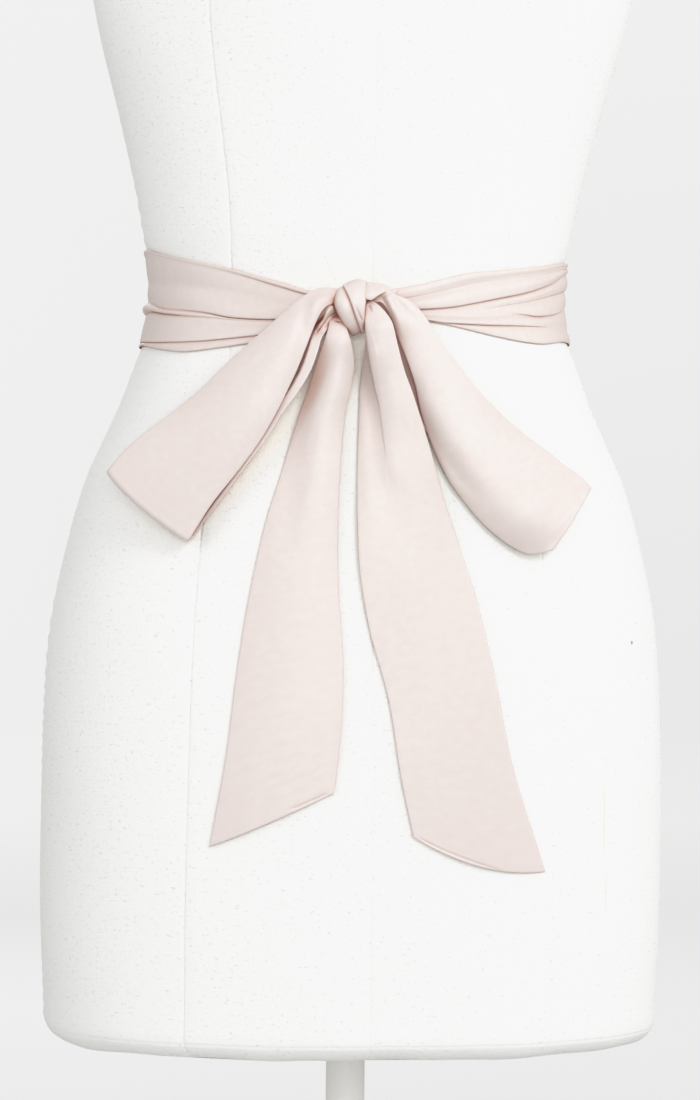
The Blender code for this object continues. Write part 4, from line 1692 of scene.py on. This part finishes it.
RIGHT_LOOP_FRONT = table(
    LoopRow,
    (-10.4, -2.5, 110.5, -10.4, -13.5, 111, 0.3, 0),
    (-4.0, -2.0, 112.5, -2.5, -9.5, 113, 0.5, 0),
    (4.9, -1.8, 113.5, 2.6, -8.4, 114.5, 0.6, 0),
    (11.0, -4.2, 113, 6.0, -12.2, 114.5, 1.0, 0),
    (17.5, -6.7, 112, 8.9, -17.6, 114.2, 1.5, -0.5),
    (23.0, -10.9, 111, 11.6, -25.0, 113.6, 2.5, -1),
    (29.0, -18.3, 110, 15.4, -34.6, 113, 2.0, -0.5),
    (36.7, -30.4, 109, 19.0, -44.2, 113.5, 2.2, -0.8),
    (46.1, -42.0, 108, 22.0, -53.2, 114.5, 2.5, -3),
    (56.0, -54.2, 107, 24.8, -66.0, 115.5, 3.2, -4.5),
    (65.4, -63.7, 106, 29.8, -80.9, 117.5, 4.2, -6.5),
    (74.8, -72.1, 105, 34.9, -93.2, 118.5, 5.5, -7.5),
    (84.3, -79.5, 103.5, 40.7, -103.8, 119.5, 5.5, -8),
    (94.4, -86.3, 101, 48.7, -114.4, 120, 5.5, -8.5),
    (104.2, -93.7, 98, 59.0, -126.0, 119.5, 5.5, -8.5),
    (111.3, -98.0, 95.5, 71.4, -135.9, 118, 5.5, -8.5),
    (115.4, -101.2, 93.5, 82.8, -141.6, 114, 5.2, -6),
    (117.6, -103.2, 92.3, 90.6, -141.2, 111, 5.5, -2.5),
    (119.4, -104.8, 91.5, 95.4, -139.5, 110.0, 4.5, -0.5),
)
RIGHT_LOOP_BACK = table(
    LoopRow,
    (118.3, -104.5, 88.6, 93.9, -138.4, 106.0, 4.0, 0),
    (111.0, -99.0, 88.5, 78.0, -134.5, 107.0, 3.5, 0),
    (96.0, -88.5, 92.5, 62.0, -120.0, 109.0, 2.5, 0),
    (80.0, -77.0, 96, 48.0, -104.0, 110.0, 1.5, 0),
    (65.0, -63.5, 99.5, 35.5, -88.5, 110.0, 1, 0),
    (51.5, -49.0, 101, 25.5, -73.0, 109.5, 0.5, 0),
    (39.0, -34.0, 102, 17.0, -58.0, 108.5, 0.3, 0),
    (28.5, -20.5, 101.5, 10.5, -43.0, 104.5, -1, 0),
    (18.0, -11.5, 103, 6.5, -29.0, 104.2, -0.5, 0),
    (8.0, -7.5, 104, 3.5, -20.0, 104.2, 0, 0),
    (-10.4, -6.0, 104, -10.4, -16.0, 104.5, 0, 0),
)
LEFT_LOOP_CREASES = {
    Layer.FRONT: (
        Crease(
            ((-24, -3), (-35.5, -5.7), (-38.6, -18.5), (-40.6, -34.5), (-44, -52)),
            *(-1.6, 3.5, 3.5, 0.15, 0.6),
        ),
        Crease(((-23, -5), (-31, -8), (-34.5, -17), (-37.5, -28)), 1.0, 2.5, 2.5, 0.2, 0.6),
        Crease(((-28, -2), (-46, -14), (-62, -32), (-84, -56)), 0.8, 6, 5, 0.2, 0.6),
    ),
    Layer.BACK: (
        Crease(((-22, -9.8), (-28.0, -13.2), (-33.0, -19.2), (-35.3, -25.0)), 8.0, 4.5, 2.2, 0.1, 0.4),
        Crease(((-20.5, -13.6), (-25.3, -16.7), (-30, -22.8), (-32.9, -26.4)), -1.3, 0.7, 0.7, 0.1, 0.3),
    ),
}
RIGHT_LOOP_CREASES = {
    Layer.FRONT: (
        Crease(((0, -4.6), (3.2, -6.2), (5.8, -10.5), (8.4, -17.0)), -0.7, 1.7, 1.5, 0.1, 0.5),
        Crease(((5.5, -4.5), (8.0, -9.0), (11.5, -18.0), (14.5, -29)), 1.6, 2.0, 2.0, 0.1, 0.6),
        Crease(((8.4, -5.0), (13.4, -10.0), (20.0, -16.4), (25, -23)), -1.2, 2.1, 2.6, 0.15, 0.6),
        Crease(((22, -58), (32, -79), (46, -101), (63, -119)), -1.6, 5, 4, 0.4, 0.4),
    ),
    Layer.BACK: (),
}
LEFT_TAIL = table(
    TailRow,
    (-24.6, -14.5, 15.5, -18.0, -14.5, 15.0, 0.3, 0, 0.4, 0),
    (-24.8, -17.0, 19.0, -17.6, -16.8, 18.0, 0.5, 0, 0.4, 0),
    (-25.0, -20.0, 20.5, -16.6, -20.2, 19.5, 0.7, 0, 0.4, 0),
    (-25.8, -24.0, 20.5, -15.0, -24.5, 20.0, 0.9, 0, 0.4, 0),
    (-27.5, -29.0, 19.4, -13.2, -30.0, 18.6, 1.2, 0, 0.4, 0),
    (-29.3, -34.5, 17.4, -12.0, -35.5, 16.2, 1.6, 0, 0.4, 0),
    (-31.6, -42.0, 14.4, -11.2, -42.0, 13.0, 2.2, 0, 0.4, 0),
    (-35.5, -55.5, 10.0, -13.0, -55.5, 8.8, 3.2, 0, 0.4, 0),
    (-40.2, -69.5, 6.6, -16.0, -69.5, 5.8, 3.6, 0, 0.4, 0),
    (-49.5, -100, 3, -18.5, -100, 3.5, 3.0, 0, 0.4, 0),
    (-58.0, -127.5, 1.8, -19.5, -127.5, 2, 2.4, 0, 0.4, 0),
    (-66.5, -167.5, 1.4, -19.0, -162, 1.5, 1.6, 0, 0.4, 0),
    (-73.0, -210, 1.2, -16.5, -199, 1.3, 1.0, 0, 0.4, 0),
    (-78.0, -252.5, 1.2, -17.0, -234.5, 1.3, 0.8, 0, 0.4, 0),
    (-86.0, -299, 1.2, -20.5, -269.5, 1.2, 0.6, 0.8, 0.4, 0),
)
RIGHT_TAIL = table(
    TailRow,
    (-6.8, -9.0, 22, -2.5, -7.5, 22.5, 0.2, 0, 0.04, 0.3),
    (-6.2, -13.0, 23, 1.5, -10.5, 24, 0.5, 0, 0.04, 0.6),
    (-5.6, -19.0, 21.5, 5.5, -15.0, 24.5, 1.0, 0, 0.05, 2.2),
    (-5.0, -26.5, 16.5, 8.5, -20.5, 24.5, 1.5, 0, 0.10, 5.0),
    (-5.8, -38.0, 8.5, 11.5, -32.0, 21, 1.2, 0, 0.28, 8.0),
    (-7.5, -56.0, 3.0, 15.3, -45.0, 17.5, 1.4, 0, 0.38, 5.0),
    (-8.0, -71.0, 2.2, 20.5, -59.0, 14.5, 2.2, 0, 0.40, 2.4),
    (-9.0, -99.0, 2.0, 29.5, -86.0, 9, 2.8, 0, 0.39, 0),
    (-9.0, -126.5, 2.8, 37.0, -112.5, 4.5, 2.5, 0, 0.38, 0),
    (-7.5, -153.5, 2.3, 46.5, -140, 2.5, 2.0, 0, 0.36, 0),
    (-2.0, -184.5, 1.6, 56.0, -169, 1.6, 1.5, 0, 0.34, 0),
    (8.0, -220, 1.3, 66.0, -209.5, 1.3, 1.0, 1.0, 0.32, 0),
    (15.0, -261, 1.2, 76.5, -257.5, 1.2, 0.8, 3.5, 0.30, 0),
    (22.0, -293, 1.2, 95.0, -312.5, 1.2, 0.6, 6.4, 0.30, 0),
)
LEFT_TAIL_CREASES = (
    Crease(
        ((-25, -24), (-30, -40), (-37, -61), (-40, -77), (-43.5, -103), (-46, -130), (-48, -156)),
        *(-3.4, 7.0, 8.5, 0.3, 0.5),
    ),
    Crease(((-17, -22), (-18, -38), (-20.5, -60), (-24, -90)), 0.8, 6, 6, 0.2, 0.5),
    Crease(((-22.4, -18.4), (-20.5, -19.0), (-18.2, -19.3)), -1.0, 0.6, 0.6, 0.3, 0.3),
    Crease(((-46, -279.4), (-35, -274.6), (-24, -269.8)), -0.5, 0.5, 0.5, 0.3, 0.1),
)
RIGHT_TAIL_CREASES = (
    Crease(((-4.4, -9.8), (-3.4, -12.0), (-2.4, -14.6)), -0.7, 0.8, 0.8, 0.2, 0.4),
    Crease(((0, -14), (4, -26), (8, -45), (14, -70), (20, -100)), 1.2, 6, 6, 0.2, 0.5),
    Crease(((-5, -34), (-3, -50), (-1, -68), (1.5, -92), (6, -125), (11, -150)), -3.0, 5, 5, 0.3, 0.6),
    Crease(((8, -92), (11, -112), (14, -135), (17, -160)), -1.8, 8, 6, 0.4, 0.6),
    Crease(
        ((26, -293.5), (28, -295), (40.3, -300.9), (57, -307.2), (72.2, -311.9)),
        *(-0.5, 0.5, 0.5, 0.1, 0.1),
    ),
)


@dataclass(frozen=True)
class Lamp:
    """A soft square light, by its angles from the centre front and its strength at the form."""

    name: str
    azimuth: float
    elevation: float
    distance: float
    size: float
    strength: float
    colour: Colour


@dataclass
class Studio:
    """The pale paper sweep, the soft lights and the camera."""

    paper: bpy.types.Material
    floor_radius: float = 8.5
    sweep_radius: float = 1.5
    wall_height: float = 9.0
    sweep_steps: int = 25
    sweep_sides: int = 96
    floor_drop: float = 0.0002
    camera_distance: float = 2.2
    camera_azimuth: float = 5.3
    camera_height: float = 0.5246
    camera_roll: float = 0.45
    lens: float = 128.2
    sensor: float = 36.0
    shift: float = -0.0038
    ambient: Colour = (0.975, 0.975, 0.945)
    ambient_strength: float = 0.55
    tone_white: float = 1.2
    tone_curve: tuple[tuple[float, float], ...] = (
        (0.30, 0.36),
        (0.65, 0.78),
        (0.74, 0.88),
        (0.80, 0.925),
        (0.88, 0.942),
    )
    tone_end: float = 0.955
    lamps: tuple[Lamp, ...] = (
        Lamp("key", 26, 28, 2.9, 1.0, 0.29, (1.0, 0.995, 1.0)),
        Lamp("front_fill", -4, 6, 2.9, 1.2, 0.30, (1.0, 1.0, 1.02)),
        Lamp("left_fill", -66, 18, 2.5, 1.3, 0.18, (1.0, 1.0, 1.02)),
        Lamp("right_fill", 80, 15, 2.5, 1.2, 0.28, (1.0, 1.0, 1.03)),
        Lamp("back_fill", 188, 24, 2.9, 1.2, 0.24, (1.0, 1.0, 1.0)),
    )

    def sweep(self) -> bpy.types.Object:
        """A round floor that curves up into a wall, seen but shading nothing."""
        rim = [(0.0, 0.0), (self.floor_radius, 0.0)]
        for turn in np.linspace(0.0, math.pi / 2, self.sweep_steps)[1:]:
            out = self.floor_radius + self.sweep_radius * math.sin(turn)
            rim.append((out, self.sweep_radius * (1.0 - math.cos(turn))))
        rim.append((self.floor_radius + self.sweep_radius, self.wall_height))
        profile = [(radius, height - self.floor_drop) for radius, height in rim]
        data = spun_mesh("paper_sweep", profile, self.sweep_sides, outward=False)
        obj = link_object("paper_sweep", data, self.paper)
        obj.visible_shadow = False
        obj.visible_diffuse = False
        obj.visible_glossy = False
        obj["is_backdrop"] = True
        return obj

    def light(self, lamp: Lamp) -> None:
        """A square soft light that faces the form."""
        azimuth = math.radians(lamp.azimuth)
        rise = math.radians(lamp.elevation)
        level = math.cos(rise)
        way = Vector((math.sin(azimuth) * level, -math.cos(azimuth) * level, math.sin(rise)))
        data = bpy.data.lights.new(lamp.name, "AREA")
        data.size = lamp.size
        data.energy = lamp.strength * (math.pi * lamp.distance) ** 2
        data.color = lamp.colour
        obj = bpy.data.objects.new(lamp.name, data)
        obj.location = Vector((0.0, -FORM_FORWARD, self.camera_height)) + way * lamp.distance
        obj.rotation_euler = (-way).to_track_quat("-Z", "Y").to_euler()
        obj.visible_camera = False
        bpy.context.scene.collection.objects.link(obj)

    def camera(self) -> None:
        """The camera at the photograph's angle, level and a touch rolled."""
        azimuth = math.radians(self.camera_azimuth)
        roll = math.radians(self.camera_roll)
        ahead = Vector((math.sin(azimuth), math.cos(azimuth), 0.0))
        right = Vector((math.cos(azimuth), -math.sin(azimuth), 0.0))
        up = Vector((0.0, 0.0, 1.0))
        target = Vector((0.0, -FORM_FORWARD, self.camera_height))
        rolled_right = right * math.cos(roll) + up * math.sin(roll)
        rolled_up = up * math.cos(roll) - right * math.sin(roll)
        turn = Matrix((rolled_right, rolled_up, -ahead)).transposed()
        lens = bpy.data.cameras.new("camera")
        lens.sensor_fit = "VERTICAL"
        lens.sensor_height = self.sensor
        lens.lens = self.lens
        lens.shift_x = self.shift
        lens.clip_end = 30.0
        obj = bpy.data.objects.new("camera", lens)
        obj.matrix_world = Matrix.Translation(target - ahead * self.camera_distance) @ turn.to_4x4()
        bpy.context.scene.collection.objects.link(obj)
        bpy.context.scene.camera = obj

    def tone(self, view: bpy.types.ColorManagedViewSettings) -> None:
        """Hold the brightest tones softly below white, as in the photograph."""
        view.use_curve_mapping = True
        mapping = view.curve_mapping
        mapping.white_level = (self.tone_white, self.tone_white, self.tone_white)
        curve = mapping.curves[3]
        for at, value in self.tone_curve:
            curve.points.new(at, value)
        curve.points[-1].location = (1.0, self.tone_end)
        for point in curve.points:
            point.handle_type = "VECTOR"
        mapping.update()

    def build(self) -> None:
        """Set the camera, the sweep, the world and the lights."""
        scene = bpy.context.scene
        scene.view_settings.view_transform = "Standard"
        world = bpy.data.worlds.new("studio")
        world.use_nodes = True
        background = world.node_tree.nodes["Background"]
        background.inputs["Color"].default_value = (*self.ambient, 1.0)
        background.inputs["Strength"].default_value = self.ambient_strength
        scene.world = world
        self.tone(scene.view_settings)
        self.camera()
        self.sweep()
        for lamp in self.lamps:
            self.light(lamp)


def write_sizes() -> None:
    """Work out the solids' box and the visual model's box, as plain lists of numbers."""
    boxes = {"cad": CAD_BOX, "visual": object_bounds()}
    plain = {name: [[float(value) for value in corner] for corner in box] for name, box in boxes.items()}


def main() -> None:
    """Build every piece in order and report each one."""
    logging.basicConfig(level=logging.INFO, format="%(message)s")
    Studio(PaperFinish().material()).build()
    shape = FormShape()
    satin = SatinFinish().material()
    canvas = CanvasFinish().material()
    metal = PaintedMetalFinish().material()
    pieces = DressForm(shape, canvas, metal).build()
    pieces.append(WaistBand(shape, satin).build())
    pieces += Knot(satin).build()
    left_layers = (LEFT_LOOP_FRONT, LEFT_LOOP_BACK)
    right_layers = (RIGHT_LOOP_FRONT, RIGHT_LOOP_BACK)
    cuts = (
        Loop("loop_left", satin, *left_layers, 0.309, 0.0165, LEFT_LOOP_CREASES, end_bow=2.6),
        Loop("loop_right", satin, *right_layers, 0.347, 0.017, RIGHT_LOOP_CREASES),
        Tail("tail_left", shape, satin, LEFT_TAIL, 0.285, 0.0135, LEFT_TAIL_CREASES),
        Tail("tail_right", shape, satin, RIGHT_TAIL, 0.322, 0.0165, RIGHT_TAIL_CREASES),
    )
    pieces += [cut.build() for cut in cuts]
    for piece in pieces:
        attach(piece, ROOT)
        LOG.info("built %s, %d faces before its modifiers", piece.name, len(piece.data.polygons))


if __name__ == "__main__":
    main()
    write_sizes()
